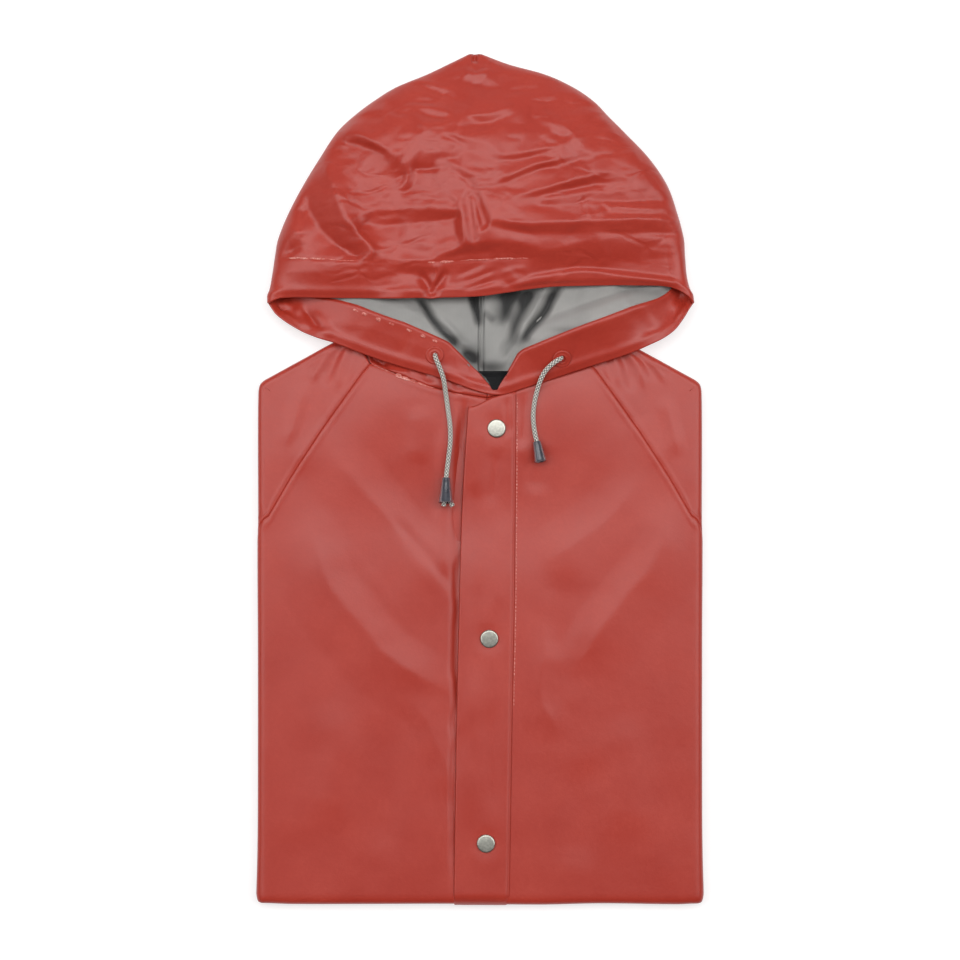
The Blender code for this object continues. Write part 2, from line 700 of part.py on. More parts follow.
def grid_normals(grid):
    """Outward direction at each point, from its neighbours round the ring and along it."""
    normals = []
    count = len(grid[0])
    for k, ring in enumerate(grid):
        before, after = grid[max(k - 1, 0)], grid[min(k + 1, len(grid) - 1)]
        row = []
        for m in range(count):
            along = after[m] - before[m]
            around = ring[(m + 1) % count] - ring[m - 1]
            row.append(around.cross(along).normalized())
        normals.append(row)
    return normals


def make_hood_shell(grid, material, collection):
    count = len(grid[0])
    points = [point for ring in grid for point in ring]
    faces = []
    for k in range(len(grid) - 1):
        for m in range(count):
            n = (m + 1) % count
            faces.append((k * count + m, k * count + n, (k + 1) * count + n, (k + 1) * count + m))
    last = (len(grid) - 1) * count
    faces.append(tuple(last + m for m in range(count)))
    shell = make_object("hood_shell", points, faces, material, collection)
    wall = shell.modifiers.new("wall", "SOLIDIFY")
    wall.thickness = CLOTH * MM
    wall.offset = -1.0
    return shell


def inner_rows(grid, normals, rings, columns, depth):
    return [[grid[k][m] - normals[k][m] * depth for m in columns] for k in rings]


def make_hood_hem(grid, normals, material, collection):
    """The casing turned in all round the rim, its two ends parted at the centre front."""
    count = len(grid[0])
    meeting = min(
        range(FIRST_LOWER, FIRST_LOWER + LOWER_STEPS + 1), key=lambda m: abs(grid[0][m].x - MEETING_X)
    )
    columns = [(meeting + i) % count for i in range(count + 1)]
    rows = inner_rows(grid, normals, range(HEM_RINGS + 1), columns, CLOTH + GAP)
    for row in rows:
        row[0] = row[0] + Vector((-GAP / 2, 0, 0))
        row[-1] = row[-1] + Vector((GAP / 2, 0, 0))
    return make_sheet("hood_hem", rows, material, collection, BACKING)


def make_hood_lining(name, half, grid, normals, material, collection):
    """Grey backing of the hood's lower layer, one half on each side of the centre back seam."""
    middle = FIRST_LOWER + LOWER_STEPS // 2
    if half == "left":
        columns = range(FIRST_LOWER + 1, middle + 1)
    else:
        columns = range(middle, FIRST_LOWER + LOWER_STEPS)
    rings = range(HEM_RINGS, HEM_RINGS + LINING_RINGS + 1)
    rows = inner_rows(grid, normals, rings, columns, CLOTH + GAP)
    seam = -1 if half == "left" else 0
    for j, row in enumerate(rows):
        row[seam] = row[seam] + Vector((GAP / 2 if half == "left" else -GAP / 2, 0, 0))
        if j == 0:
            rows[0] = [a + (b - a).normalized() * GAP for a, b in zip(row, rows[1])]
    return make_sheet(name, rows, material, collection, BACKING)


def lower_height(x, y):
    """Height of the lower layer's outer face above one place near the rim, and its slope."""
    across = (x - RIM_LEFT) / RIM_WIDTH
    low, high = 0.0, 0.6
    for _ in range(30):
        middle = (low + high) / 2
        if lower_point(middle, across).y < y:
            low = middle
        else:
            high = middle
    here = lower_point(low, across)
    along = lower_point(low + 0.01, across) - here
    around = lower_point(low, across + 0.01) - here
    return here, around.cross(along).normalized()


def make_neck_label(material, collection):
    """Bare black tape at the back of the neck, lying on the backing in the notch of the rim."""
    steps = 5
    rows = []
    for place in LABEL_ROWS:
        row = []
        for i in range(steps + 1):
            x = place.left + (place.right - place.left) * i / steps
            here, up = lower_height(x, place.at)
            row.append(Vector((x, place.at, here.z)) + up * (CLOTH + GAP + BACKING + GAP + TAPE))
        rows.append(row)
    return make_sheet("neck_label", rows[::-1], material, collection, TAPE)


def make_turned(name, profile, material, collection, segments):
    """A turned piece about its own Z: the profile runs down its outer side, from the axis to it."""
    mesh = bpy.data.meshes.new(name)
    points = [(radius * MM, 0.0, z * MM) for radius, z in profile]
    mesh.from_pydata(points, [(i, i + 1) for i in range(len(points) - 1)], [])
    mesh.materials.append(material)
    item = bpy.data.objects.new(name, mesh)
    collection.objects.link(item)
    turn = item.modifiers.new("turn", "SCREW")
    turn.axis = "Z"
    turn.steps = segments
    turn.render_steps = segments
    turn.use_merge_vertices = True
    turn.merge_threshold = 0.00001
    return item


def place_on(item, point, up):
    turn = Vector((0, 0, 1)).rotation_difference(up).to_matrix().to_4x4()
    item.matrix_world = Matrix.Translation(Vector(point) * MM) @ turn


def make_snap(name, x, y, material, collection):
    radius = SNAP_DIAMETER / 2
    profile = (
        (0.0, SNAP_HEIGHT), (radius * 0.45, SNAP_HEIGHT - 0.05), (radius * 0.78, SNAP_HEIGHT - 0.3),
        (radius * 0.95, SNAP_HEIGHT - 0.8), (radius, 0.35), (radius - 0.2, 0.0), (0.0, 0.0),
    )
    snap = make_turned(name, profile, material, collection, 24)
    place_on(snap, (x, y, body_top(x, y) + CLOTH + 2 * GAP), Vector((0, 0, 1)))
    return snap


def make_eyelet(name, x, y, material, collection):
    outer, hole = EYELET_DIAMETER / 2, EYELET_HOLE / 2
    profile = (
        (hole + 0.9, 1.0), (outer - 0.6, 0.7), (outer, 0.3), (outer, 0.0),
        (hole, 0.0), (hole, 0.7), (hole + 0.9, 1.0),
    )
    ring = make_turned(name, profile, material, collection, 20)
    here, up = lower_height(x, y)
    place_on(ring, Vector((x, y, here.z)) + up * (CLOTH + GAP + BACKING + GAP), up)
    return ring


def smooth_route(points, spacing):
    """Evenly spaced places on a smooth curve through a route's points."""
    fine = []
    for k in range(len(points) - 1):
        before = points[max(k - 1, 0)]
        start, end = points[k], points[k + 1]
        after = points[min(k + 2, len(points) - 1)]
        for i in range(12):
            t = i / 12
            fine.append(
                0.5 * (2 * start + (end - before) * t
                       + (2 * before - 5 * start + 4 * end - after) * t**2
                       + (3 * start - before - 3 * end + after) * t**3)
            )
    fine.append(points[-1])
    length = sum((b - a).length for a, b in zip(fine, fine[1:]))
    count = round(length / spacing)
    places, walked, target = [fine[0]], 0.0, length / count
    for a, b in zip(fine, fine[1:]):
        step = (b - a).length
        while walked + step >= target - 1e-9 and len(places) < count:
            places.append(a + (b - a) * ((target - walked) / step))
            target += length / count
        walked += step
    places.append(fine[-1])
    return places


def make_cord(name, material, collection):
    route = [Vector(point) for point in CORD_ROUTES[name]]
    places = smooth_route(route, CORD_DIAMETER)
    curve = bpy.data.curves.new(name, "CURVE")
    curve.dimensions = "3D"
    curve.bevel_depth = CORD_DIAMETER / 2 * MM
    curve.bevel_resolution = 2
    curve.use_fill_caps = True
    spline = curve.splines.new("POLY")
    spline.points.add(len(places) - 1)
    for point, place in zip(spline.points, places):
        point.co = (*(place * MM), 1.0)
    curve.materials.append(material)
    item = bpy.data.objects.new(name, curve)
    collection.objects.link(item)
    return item


def make_cord_end(end, material, collection):
    """Moulded bell on the end of a cord, wider at its open end."""
    top, bottom = Vector(end.top), Vector(end.bottom)
    length = (bottom - top).length
    slim, wide = end.top_radius, end.bottom_radius
    profile = (
        (0.0, 0.0), (slim - 0.5, 0.0), (slim, -0.6), (slim + 0.2, -0.25 * length),
        (slim + 0.45 * (wide - slim), -0.6 * length), (wide, -length + 0.5),
        (wide - 0.4, -length), (0.0, -length),
    )
    bell = make_turned(end.name, profile, material, collection, 16)
    place_on(bell, top, (top - bottom).normalized())
    return bell


def main():
    clear_scene()
    jacket = bpy.data.collections.new("kids_rain_jacket")
    bpy.context.scene.collection.children.link(jacket)
    materials = {name: make_material(name) for name in FINISHES}
    red, grey = materials["pvc_red"], materials["backing_grey"]

    make_hidden_layers(red, jacket)
    make_front("front_right", -1, red, jacket)
    make_front("front_left", 1, red, jacket)
    make_sleeve("sleeve_right", -1, red, jacket)
    make_sleeve("sleeve_left", 1, red, jacket)
    make_placket(red, jacket)
    make_neck_band("neck_band_right", -1, red, jacket)
    make_neck_band("neck_band_left", 1, red, jacket)
    for name, x, y in SNAPS:
        make_snap(name, x, y, materials["snap_nickel"], jacket)

    grid = hood_grid()
    normals = grid_normals(grid)
    make_hood_shell(grid, red, jacket)
    make_hood_hem(grid, normals, red, jacket)
    make_hood_lining("hood_lining_left", "left", grid, normals, grey, jacket)
    make_hood_lining("hood_lining_right", "right", grid, normals, grey, jacket)
    make_neck_label(materials["tape_black"], jacket)
    for name, x, y in EYELETS:
        make_eyelet(name, x, y, red, jacket)
    for name in CORD_ROUTES:
        make_cord(name, materials["cord_grey"], jacket)
    for end in CORD_ENDS:
        make_cord_end(end, materials["cord_end_smoke"], jacket)


main()
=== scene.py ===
import math
from collections import namedtuple

import bpy
import numpy as np
from mathutils import Matrix, Vector
from mathutils.bvhtree import BVHTree
from mathutils.geometry import delaunay_2d_cdt


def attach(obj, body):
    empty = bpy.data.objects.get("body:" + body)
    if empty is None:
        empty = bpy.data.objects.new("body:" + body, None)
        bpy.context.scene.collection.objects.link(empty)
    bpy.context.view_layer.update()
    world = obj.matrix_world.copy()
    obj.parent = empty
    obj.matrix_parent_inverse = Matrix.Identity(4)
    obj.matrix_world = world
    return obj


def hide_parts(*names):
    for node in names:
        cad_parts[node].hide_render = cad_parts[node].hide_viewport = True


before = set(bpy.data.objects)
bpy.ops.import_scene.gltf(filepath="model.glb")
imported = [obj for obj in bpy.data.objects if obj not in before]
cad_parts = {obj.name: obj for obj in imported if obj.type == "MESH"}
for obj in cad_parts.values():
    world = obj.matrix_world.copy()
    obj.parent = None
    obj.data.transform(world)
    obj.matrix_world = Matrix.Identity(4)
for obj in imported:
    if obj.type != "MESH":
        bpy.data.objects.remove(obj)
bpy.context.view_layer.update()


# ---- Camera -------------------------------------------------------------------------------
# The jacket lies on a table and is looked at from straight above, from a height that keeps
# its outline almost free of perspective. Sizes of the jacket below are in millimetres.

MM = 0.001
CAMERA_HEIGHT = 2.25
FRAME_WIDTH = 0.672
PANEL_HEIGHT = 0.012
FRAME_CENTRE_Y = -0.0007

camera = bpy.data.objects.new("camera", bpy.data.cameras.new("camera"))
camera.data.sensor_width = 36.0
camera.data.lens = camera.data.sensor_width * (CAMERA_HEIGHT - PANEL_HEIGHT) / FRAME_WIDTH
camera.location = (0.0, FRAME_CENTRE_Y, CAMERA_HEIGHT)
bpy.context.scene.collection.objects.link(camera)
bpy.context.scene.camera = camera
bpy.context.scene.view_settings.view_transform = "Standard"


# ---- Drawcords ----------------------------------------------------------------------------
# Two ends of one braided polyester cord, 3.5 mm thick, that runs in the casing round the hood.
# Each comes out of its eyelet, arches over the rim and lies down the front, limp and loose.

CORD_DIAMETER = 3.5
CORD_STEP = 0.3
CORD_SIDES = 32
HIDDEN_SIDES = 20
PLAITS = 4
PLAIT_LENGTH = 2.4
PLAIT_RELIEF = 0.5
PLAIT_ROUND = 0.7
GAP_SHADE = (1.9, -0.42)

CORD_ROUTES = {
    "right": (
        (-31.6, 87.3, 16.6), (-31.6, 87.0, 18.5), (-31.2, 85.6, 20.6), (-30.2, 82.6, 22.3),
        (-28.4, 78.4, 22.9), (-26.6, 73.6, 22.4), (-25.2, 68.6, 21.0), (-24.2, 62.0, 19.0),
        (-23.3, 55.5, 18.1), (-22.3, 48.0, 17.7), (-20.9, 37.0, 17.6), (-20.8, 26.0, 17.7),
        (-22.1, 14.0, 18.0), (-22.9, 7.5, 18.3), (-23.6, 1.3, 18.8),
    ),
    "left": (
        (56.8, 85.2, 19.0), (56.8, 84.8, 21.2), (56.0, 83.9, 23.4), (53.6, 82.4, 25.2),
        (49.6, 79.5, 25.2), (45.7, 75.4, 24.0), (42.9, 70.6, 22.2), (40.8, 65.0, 20.2),
        (39.2, 59.0, 18.7), (38.0, 53.0, 18.1), (37.2, 46.0, 17.9), (37.3, 40.0, 17.7),
        (38.1, 33.4, 17.7), (39.5, 26.6, 18.1),
    ),
}


def to_linear(code):
    """Linear colour of an sRGB hex code."""
    shades = [int(code[i:i + 2], 16) / 255 for i in (1, 3, 5)]
    return (*(s / 12.92 if s <= 0.04045 else ((s + 0.055) / 1.055) ** 2.4 for s in shades), 1.0)


def add_node(tree, kind, sockets=None, stops=(), **settings):
    """One shader node: its settings, its sockets by name or number, each a value or a feed, and
    the (place, hex code) stops of a colour ramp."""
    made = tree.nodes.new("ShaderNode" + kind)
    for name, value in settings.items():
        setattr(made, name, value)
    for name, value in (sockets or {}).items():
        if isinstance(value, bpy.types.NodeSocket):
            tree.links.new(value, made.inputs[name])
        else:
            made.inputs[name].default_value = value
    for _ in stops[2:]:
        made.color_ramp.elements.new(0.5)
    for number, (at, code) in enumerate(stops):
        made.color_ramp.elements[number].position = at
        made.color_ramp.elements[number].color = to_linear(code)
    return made


def start_material(name, **sockets):
    """A material with its Principled shader set, its tree and its object coordinates."""
    material = bpy.data.materials.new(name)
    material.use_nodes = True
    tree = material.node_tree
    shader = tree.nodes["Principled BSDF"]
    for socket, value in sockets.items():
        shader.inputs[socket.replace("_", " ")].default_value = value
    place = add_node(tree, "TexCoord").outputs["Object"]
    return material, tree, shader, place


def grains(size):
    """Scale of a noise or cell pattern whose grains are this many millimetres wide."""
    return 1 / (size * MM)


def braided_polyester():
    """Matte yarn: pale on the plaits, with painted shade, near black, in the gaps where they dive under each
    other. The filaments are far finer and are drawn 0.5 mm wide so that they show."""
    material, tree, shader, place = start_material(
        "braided_polyester", Roughness=0.82, IOR=1.55, Sheen_Weight=0.25)
    yarn = add_node(tree, "TexNoise", {"Vector": place, "Scale": grains(0.526), "Detail": 3.0})
    shade = add_node(tree, "ValToRGB", {"Fac": yarn.outputs["Fac"]}, ((0.30, "#cfcdc4"), (0.62, "#efede4")))
    depth = add_node(tree, "Attribute", attribute_name="plait")
    mixed = add_node(tree, "Mix", {0: depth.outputs["Fac"], 6: to_linear("#1d1c1b"),
                                   7: shade.outputs["Color"]}, data_type="RGBA")
    tree.links.new(mixed.outputs[2], shader.inputs["Base Color"])
    bump = add_node(tree, "Bump", {"Height": yarn.outputs["Fac"], "Strength": 0.25, "Distance": 0.0002})
    tree.links.new(bump.outputs["Normal"], shader.inputs["Normal"])
    return material


def smooth_route(points, spacing):
    """Evenly spaced places on a smooth curve through a route's points, in millimetres."""
    points = np.asarray(points, float)
    fine = []
    for k in range(len(points) - 1):
        before, start = points[max(k - 1, 0)], points[k]
        end, after = points[k + 1], points[min(k + 2, len(points) - 1)]
        t = np.linspace(0, 1, 16, endpoint=False)[:, None]
        fine.append(0.5 * (2 * start + (end - before) * t
                           + (2 * before - 5 * start + 4 * end - after) * t**2
                           + (3 * start - before - 3 * end + after) * t**3))
    fine = np.vstack([*fine, points[-1:]])
    walked = np.concatenate([[0], np.cumsum(np.linalg.norm(np.diff(fine, axis=0), axis=1))])
    even = np.linspace(0, walked[-1], max(2, round(walked[-1] / spacing) + 1))
    return np.stack([np.interp(even, walked, fine[:, axis]) for axis in range(fine.shape[1])], axis=1)


def link_mesh(name, places, faces, materials):
    """A smooth-shaded mesh object from places in millimetres."""
    mesh = bpy.data.meshes.new(name)
    mesh.from_pydata((np.asarray(places, float) * MM).tolist(), [], faces)
    mesh.shade_smooth()
    for material in materials:
        mesh.materials.append(material)
    item = bpy.data.objects.new(name, mesh)
    bpy.context.scene.collection.objects.link(item)
    return item


def grid_faces(rows, columns, closed=False):
    """Quads of a grid of places, its columns closed into a ring or left open."""
    index = np.arange(rows * columns).reshape(rows, columns)
    if closed:
        index = np.concatenate([index, index[:, :1]], axis=1)
    corners = index[:-1, :-1], index[:-1, 1:], index[1:, 1:], index[1:, :-1]
    return np.stack(corners, axis=-1).reshape(-1, 4).tolist()


def mark_places(item, name, values):
    """A value at each place of a mesh, for its material to read."""
    marks = item.data.attributes.new(name, "FLOAT", "POINT")
    marks.data.foreach_set("value", np.ravel(values).astype(np.float32))


def make_cord(name, route, step, sides, material):
    """A braided cord along a route: the plaits stand proud of the gaps between them, and a plait mark gives
    the painted shade of the gaps.
    """
    line = smooth_route(route, step)
    ahead = np.gradient(line, axis=0)
    ahead /= np.linalg.norm(ahead, axis=1)[:, None]
    aside = np.cross(ahead[0], (0.0, 0.0, 1.0))
    around = np.linspace(0, 2 * math.pi, sides, endpoint=False)
    places, reliefs = [], []
    for k, (place, way) in enumerate(zip(line, ahead)):
        aside = aside - way * aside.dot(way)
        aside /= np.linalg.norm(aside)
        up = np.cross(way, aside)
        turn = math.pi * k * step / PLAIT_LENGTH
        crossing = np.cos(0.5 * PLAITS * around + turn) * np.cos(0.5 * PLAITS * around - turn)
        relief = np.abs(crossing) ** PLAIT_ROUND
        radius = CORD_DIAMETER / 2 - PLAIT_RELIEF * (1 - relief)
        spokes = np.cos(around)[:, None] * aside + np.sin(around)[:, None] * up
        places.append(place + radius[:, None] * spokes)
        reliefs.append(relief)
    count = len(places)
    faces = grid_faces(count, sides, closed=True)
    faces += [tuple(range(sides - 1, -1, -1)), tuple(range((count - 1) * sides, count * sides))]
    cord = link_mesh(name, np.vstack(places), faces, [material])
    # Painted shade in the gaps between the plaits, marked from their relief for the yarn's colour.
    contrast, offset = GAP_SHADE
    mark_places(cord, "plait", np.clip(contrast * np.concatenate(reliefs) + offset, 0, 1))
    return cord, line


def put_on(item, stands_for=None):
    """Fixes a piece to the jacket's one body, and hides the solid it stands for if one is given."""
    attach(item, "root")
    if stands_for:
        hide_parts(stands_for)


polyester = braided_polyester()
cords = {}
for side, route in CORD_ROUTES.items():
    cords[side] = make_cord(f"drawcord_{side}_braid", route, CORD_STEP, CORD_SIDES, polyester)


# ---- Cord ends ----------------------------------------------------------------------------
# Bell-shaped stops moulded in smoky, slightly clear plastic. The cord is doubled up inside:
# on the wearer's right the two cut stubs of the bight peep out of the open end.

CordEnd = namedtuple("CordEnd", "top bottom top_radius bottom_radius stubs")
CORD_ENDS = {
    "right": CordEnd((-23.7, 0.9, 18.9), (-23.9, -16.6, 21.6), 2.9, 5.2,
                     (((-24.2, -9.0, 19.8), (-24.9, -15.0, 20.0), (-25.4, -18.8, 19.6)),
                      ((-22.6, -9.0, 20.4), (-20.6, -15.2, 20.2), (-19.2, -18.8, 19.2)))),
    "left": CordEnd((39.6, 26.2, 18.3), (42.3, 12.0, 20.1), 2.9, 4.3, ()),
}
BELL_WALL = 0.7
BELL_HOLE = 1.9
BELL_SIDES = 40


def smoky_plastic():
    """Injection moulded, dark and slightly clear, with a gloss that streaks along the bell."""
    material, tree, shader, place = start_material(
        "smoky_plastic", Roughness=0.14, IOR=1.55, Transmission_Weight=0.35)
    flow = add_node(tree, "TexNoise", {"Vector": place, "Scale": grains(4.55), "Detail": 2.0})
    colour = add_node(tree, "ValToRGB", {"Fac": flow.outputs["Fac"]}, ((0.3, "#44454e"), (0.7, "#5c5e68")))
    tree.links.new(colour.outputs["Color"], shader.inputs["Base Color"])
    bump = add_node(tree, "Bump", {"Height": flow.outputs["Fac"], "Strength": 0.08, "Distance": 0.0004})
    tree.links.new(bump.outputs["Normal"], shader.inputs["Normal"])
    return material


def turned_mesh(name, profile, sides, materials):
    """A turned piece about its own Z: the profile runs down its outer side, in millimetres."""
    profile = np.asarray(profile, float)
    around = np.linspace(0, 2 * math.pi, sides, endpoint=False)
    ring = np.stack([np.cos(around), np.sin(around), np.zeros(sides)], axis=-1)
    places = profile[:, :1, None] * ring[None] + np.array([0, 0, 1.0]) * profile[:, 1:, None]
    item = link_mesh(name, places.reshape(-1, 3), grid_faces(len(profile), sides, closed=True), materials)
    weld = item.modifiers.new("weld", "WELD")
    weld.merge_threshold = 0.000002
    return item


def seat_on(item, point, up):
    """Puts a turned piece at a place in millimetres with its Z along up, applied to its mesh."""
    turn = Vector((0, 0, 1)).rotation_difference(Vector(up)).to_matrix().to_4x4()
    item.data.transform(Matrix.Translation(Vector(point) * MM) @ turn)


def make_cord_end(name, end, material):
    """A hollow bell, open at its wide end, with a hole for the cord in its narrow one."""
    top, bottom = Vector(end.top), Vector(end.bottom)
    length = (bottom - top).length
    slim, wide = end.top_radius, end.bottom_radius
    outside = [(BELL_HOLE, 0.0), (slim - 0.5, 0.0), (slim - 0.12, -0.15), (slim, -0.5),
               (slim + 0.05, -0.1 * length)]
    for share in np.linspace(0.16, 0.97, 14):
        outside.append((slim + 0.1 + (wide - slim - 0.1) * share**1.35, -share * length))
    rim = [(wide + 0.05, -length + 0.25), (wide - 0.15, -length), (wide - BELL_WALL + 0.1, -length)]
    inside = [(radius - BELL_WALL, height) for radius, height in reversed(outside[4:])]
    hole = [(BELL_HOLE, -0.8), (BELL_HOLE, 0.0)]
    bell = turned_mesh(name, outside + rim + inside + hole, BELL_SIDES, [material])
    seat_on(bell, top, (top - bottom).normalized())
    return bell


smoke = smoky_plastic()
for side, end in CORD_ENDS.items():
    bell = make_cord_end(f"cord_end_{side}_bell", end, smoke)
    put_on(bell, f"cord_end_{side}")
    along = np.array(end.bottom) - np.array(end.top)
    core_line = [np.array(end.top) + along * share for share in (-0.02, 0.3, 0.6, 0.8 if end.stubs else 0.9)]
    inside_routes = {"core": core_line}
    inside_routes.update((f"stub_{number}", stub) for number, stub in enumerate(end.stubs, 1))
    for part, route in inside_routes.items():
        made, _ = make_cord(f"cord_end_{side}_{part}", route, CORD_STEP, HIDDEN_SIDES, polyester)
        put_on(made)
    cord, line = cords[side]
    put_on(cord, f"drawcord_{side}")


# ---- Floor and lights ---------------------------------------------------------------------
# A white table top. The main soft box hangs above the jacket, a little beyond its hood, one on
# each side rakes the folds, and a weak one stands low beyond the hood; the near side stays dark.

FLOOR_SIZE = 8.0
FLOOR_DROP = 0.2
FLOOR_GLOW = 0.62
SoftBox = namedtuple("SoftBox", "name place width depth brightness")
SOFT_BOXES = (
    SoftBox("light_above", (0.0, 1.0, 3.1), 2.5, 1.7, 3.45),
    SoftBox("light_right_side", (-1.75, 0.3, 2.3), 1.7, 2.0, 2.9),
    SoftBox("light_left_side", (1.75, 0.3, 2.3), 1.7, 2.0, 2.9),
    SoftBox("light_beyond", (0.0, 2.6, 0.95), 3.0, 1.2, 0.5),
)
ROOM_LIGHT = 0.16


def white_laminate():
    """Matte white board; it also glows a little, so no grey shadow edges the jacket."""
    material, tree, shader, place = start_material(
        "white_laminate", Roughness=0.9, Emission_Color=(1.0, 1.0, 1.0, 1.0), Emission_Strength=FLOOR_GLOW)
    clouds = add_node(tree, "TexNoise", {"Vector": place, "Scale": grains(16.7), "Detail": 4.0})
    colour = add_node(tree, "ValToRGB", {"Fac": clouds.outputs["Fac"]}, ((0.3, "#b2b2b2"), (0.7, "#b6b6b6")))
    tree.links.new(colour.outputs["Color"], shader.inputs["Base Color"])
    return material


half = FLOOR_SIZE / 2 / MM
corners = [(x, y, -FLOOR_DROP) for x, y in ((-half, -half), (half, -half), (half, half), (-half, half))]
floor = link_mesh("floor", corners, [(0, 1, 2, 3)], [white_laminate()])

for box in SOFT_BOXES:
    light = bpy.data.lights.new(box.name, "AREA")
    light.shape = "RECTANGLE"
    light.size, light.size_y = box.width, box.depth
    light.energy = box.brightness * math.pi * box.width * box.depth
    lamp = bpy.data.objects.new(box.name, light)
    lamp.location = box.place
    lamp.rotation_euler = Vector(box.place).to_track_quat("Z", "Y").to_euler()
    bpy.context.scene.collection.objects.link(lamp)

room = bpy.data.worlds.new("room")
bpy.context.scene.world = room
room.use_nodes = True
background = room.node_tree.nodes["Background"]
background.inputs["Color"].default_value = (1.0, 1.0, 1.0, 1.0)
background.inputs["Strength"].default_value = ROOM_LIGHT


# ---- Folded layers ------------------------------------------------------------------------
# The back, the sleeves and the lower half of the coat, folded under the front in one pile
# about 15 mm thick. Only its edges show, as soft folds of coated fabric lying on each other.

HALF_WIDTH = 155.3
BOTTOM = -297.2
CLOTH = 1.0
GAP = 0.35
LAYER_FOLD = 1.85
SHOULDER_NECK = (89.0, 103.5)
SHOULDER_CORNER = (HALF_WIDTH, 67.0)
UNDERARM_Y = -40.0
ROLL_SHARP = 0.6
CORNER_TURN = 6.5
CORNER_PULL = 1.3

# The layers at the pile's edge: their share of its height, how far in they start and how far
# each fold bulges out again. UNDER_FRONT is how far the pile's top stays below the front's face.
EDGE_LAYERS_SHARE = 0.46
EDGE_LAYERS_IN = 1.2
LAYER_BULGE = 1.1
UNDER_FRONT = 3.2

# Thickness of the pile by place up the coat.
PILE_HEIGHT = ((-298, 15.0), (-40, 15.0), (20, 14.4), (80, 11.6), (104, 9.6))


def read(rows, at, column=1):
    """A smooth curve through the rows of a table, read at one place or many; flat past its ends."""
    table = np.asarray(rows, float)
    x, y = table[:, 0], table[:, column]
    slope = np.empty_like(y)
    slope[1:-1] = (y[2:] - y[:-2]) / (x[2:] - x[:-2])
    slope[0] = (y[1] - y[0]) / (x[1] - x[0])
    slope[-1] = (y[-1] - y[-2]) / (x[-1] - x[-2])
    at = np.clip(np.asarray(at, float), x[0], x[-1])
    k = np.clip(np.searchsorted(x, at) - 1, 0, len(x) - 2)
    step = x[k + 1] - x[k]
    t = (at - x[k]) / step
    return (y[k] * (2 * t**3 - 3 * t**2 + 1) + y[k + 1] * (3 * t**2 - 2 * t**3)
            + step * (slope[k] * (t**3 - 2 * t**2 + t) + slope[k + 1] * (t**3 - t**2)))


def straight(rows, at):
    """Straight runs between the rows of a table, for an edge with corners."""
    table = np.asarray(rows, float)
    return np.interp(at, table[:, 0], table[:, 1])


def ease(share):
    """0 to 1 with soft ends."""
    share = np.clip(share, 0.0, 1.0)
    return share * share * (3 - 2 * share)


def uneven(x, y, size, seed):
    """Smooth unevenness from -1 to 1, about size millimetres from hill to hollow."""
    lattice = np.random.default_rng(seed).uniform(-1, 1, (64, 64))
    lattice[-1], lattice[:, -1] = lattice[0], lattice[:, 0]
    u, v = np.asarray(x, float) / size + 17.3, np.asarray(y, float) / size + 9.1
    i, j = np.floor(u).astype(int), np.floor(v).astype(int)
    s, t = ease(u - i), ease(v - j)
    i, j = i % 63, j % 63
    low = lattice[i, j] * (1 - s) + lattice[i + 1, j] * s
    high = lattice[i, j + 1] * (1 - s) + lattice[i + 1, j + 1] * s
    return low * (1 - t) + high * t


def outer_edge(share):
    """The sleeve's outer edge from neck to underarm, its corner rounded: places and inward ways."""
    share = np.atleast_1d(np.asarray(share, float))
    neck, corner = np.array(SHOULDER_NECK), np.array(SHOULDER_CORNER)
    underarm = np.array((HALF_WIDTH, UNDERARM_Y))
    first, second = np.linalg.norm(corner - neck), np.linalg.norm(underarm - corner)
    along = share * (first + second)
    slope_in = -np.array((neck[1] - corner[1], corner[0] - neck[0]))
    slope_in = slope_in / np.linalg.norm(slope_in)
    blend = ease((along - first + CORNER_TURN) / (2 * CORNER_TURN))[:, None]
    inward = slope_in * (1 - blend) + np.array((-1.0, 0.0)) * blend
    inward /= np.linalg.norm(inward, axis=1)[:, None]
    place = np.where((along < first)[:, None], neck + (corner - neck) * (along / first)[:, None],
                     corner + (underarm - corner) * ((along - first) / second)[:, None])
    pull = np.clip(1 - np.abs(along - first) / CORNER_TURN, 0, None)[:, None]
    return place + inward * (CORNER_PULL * pull * pull), inward


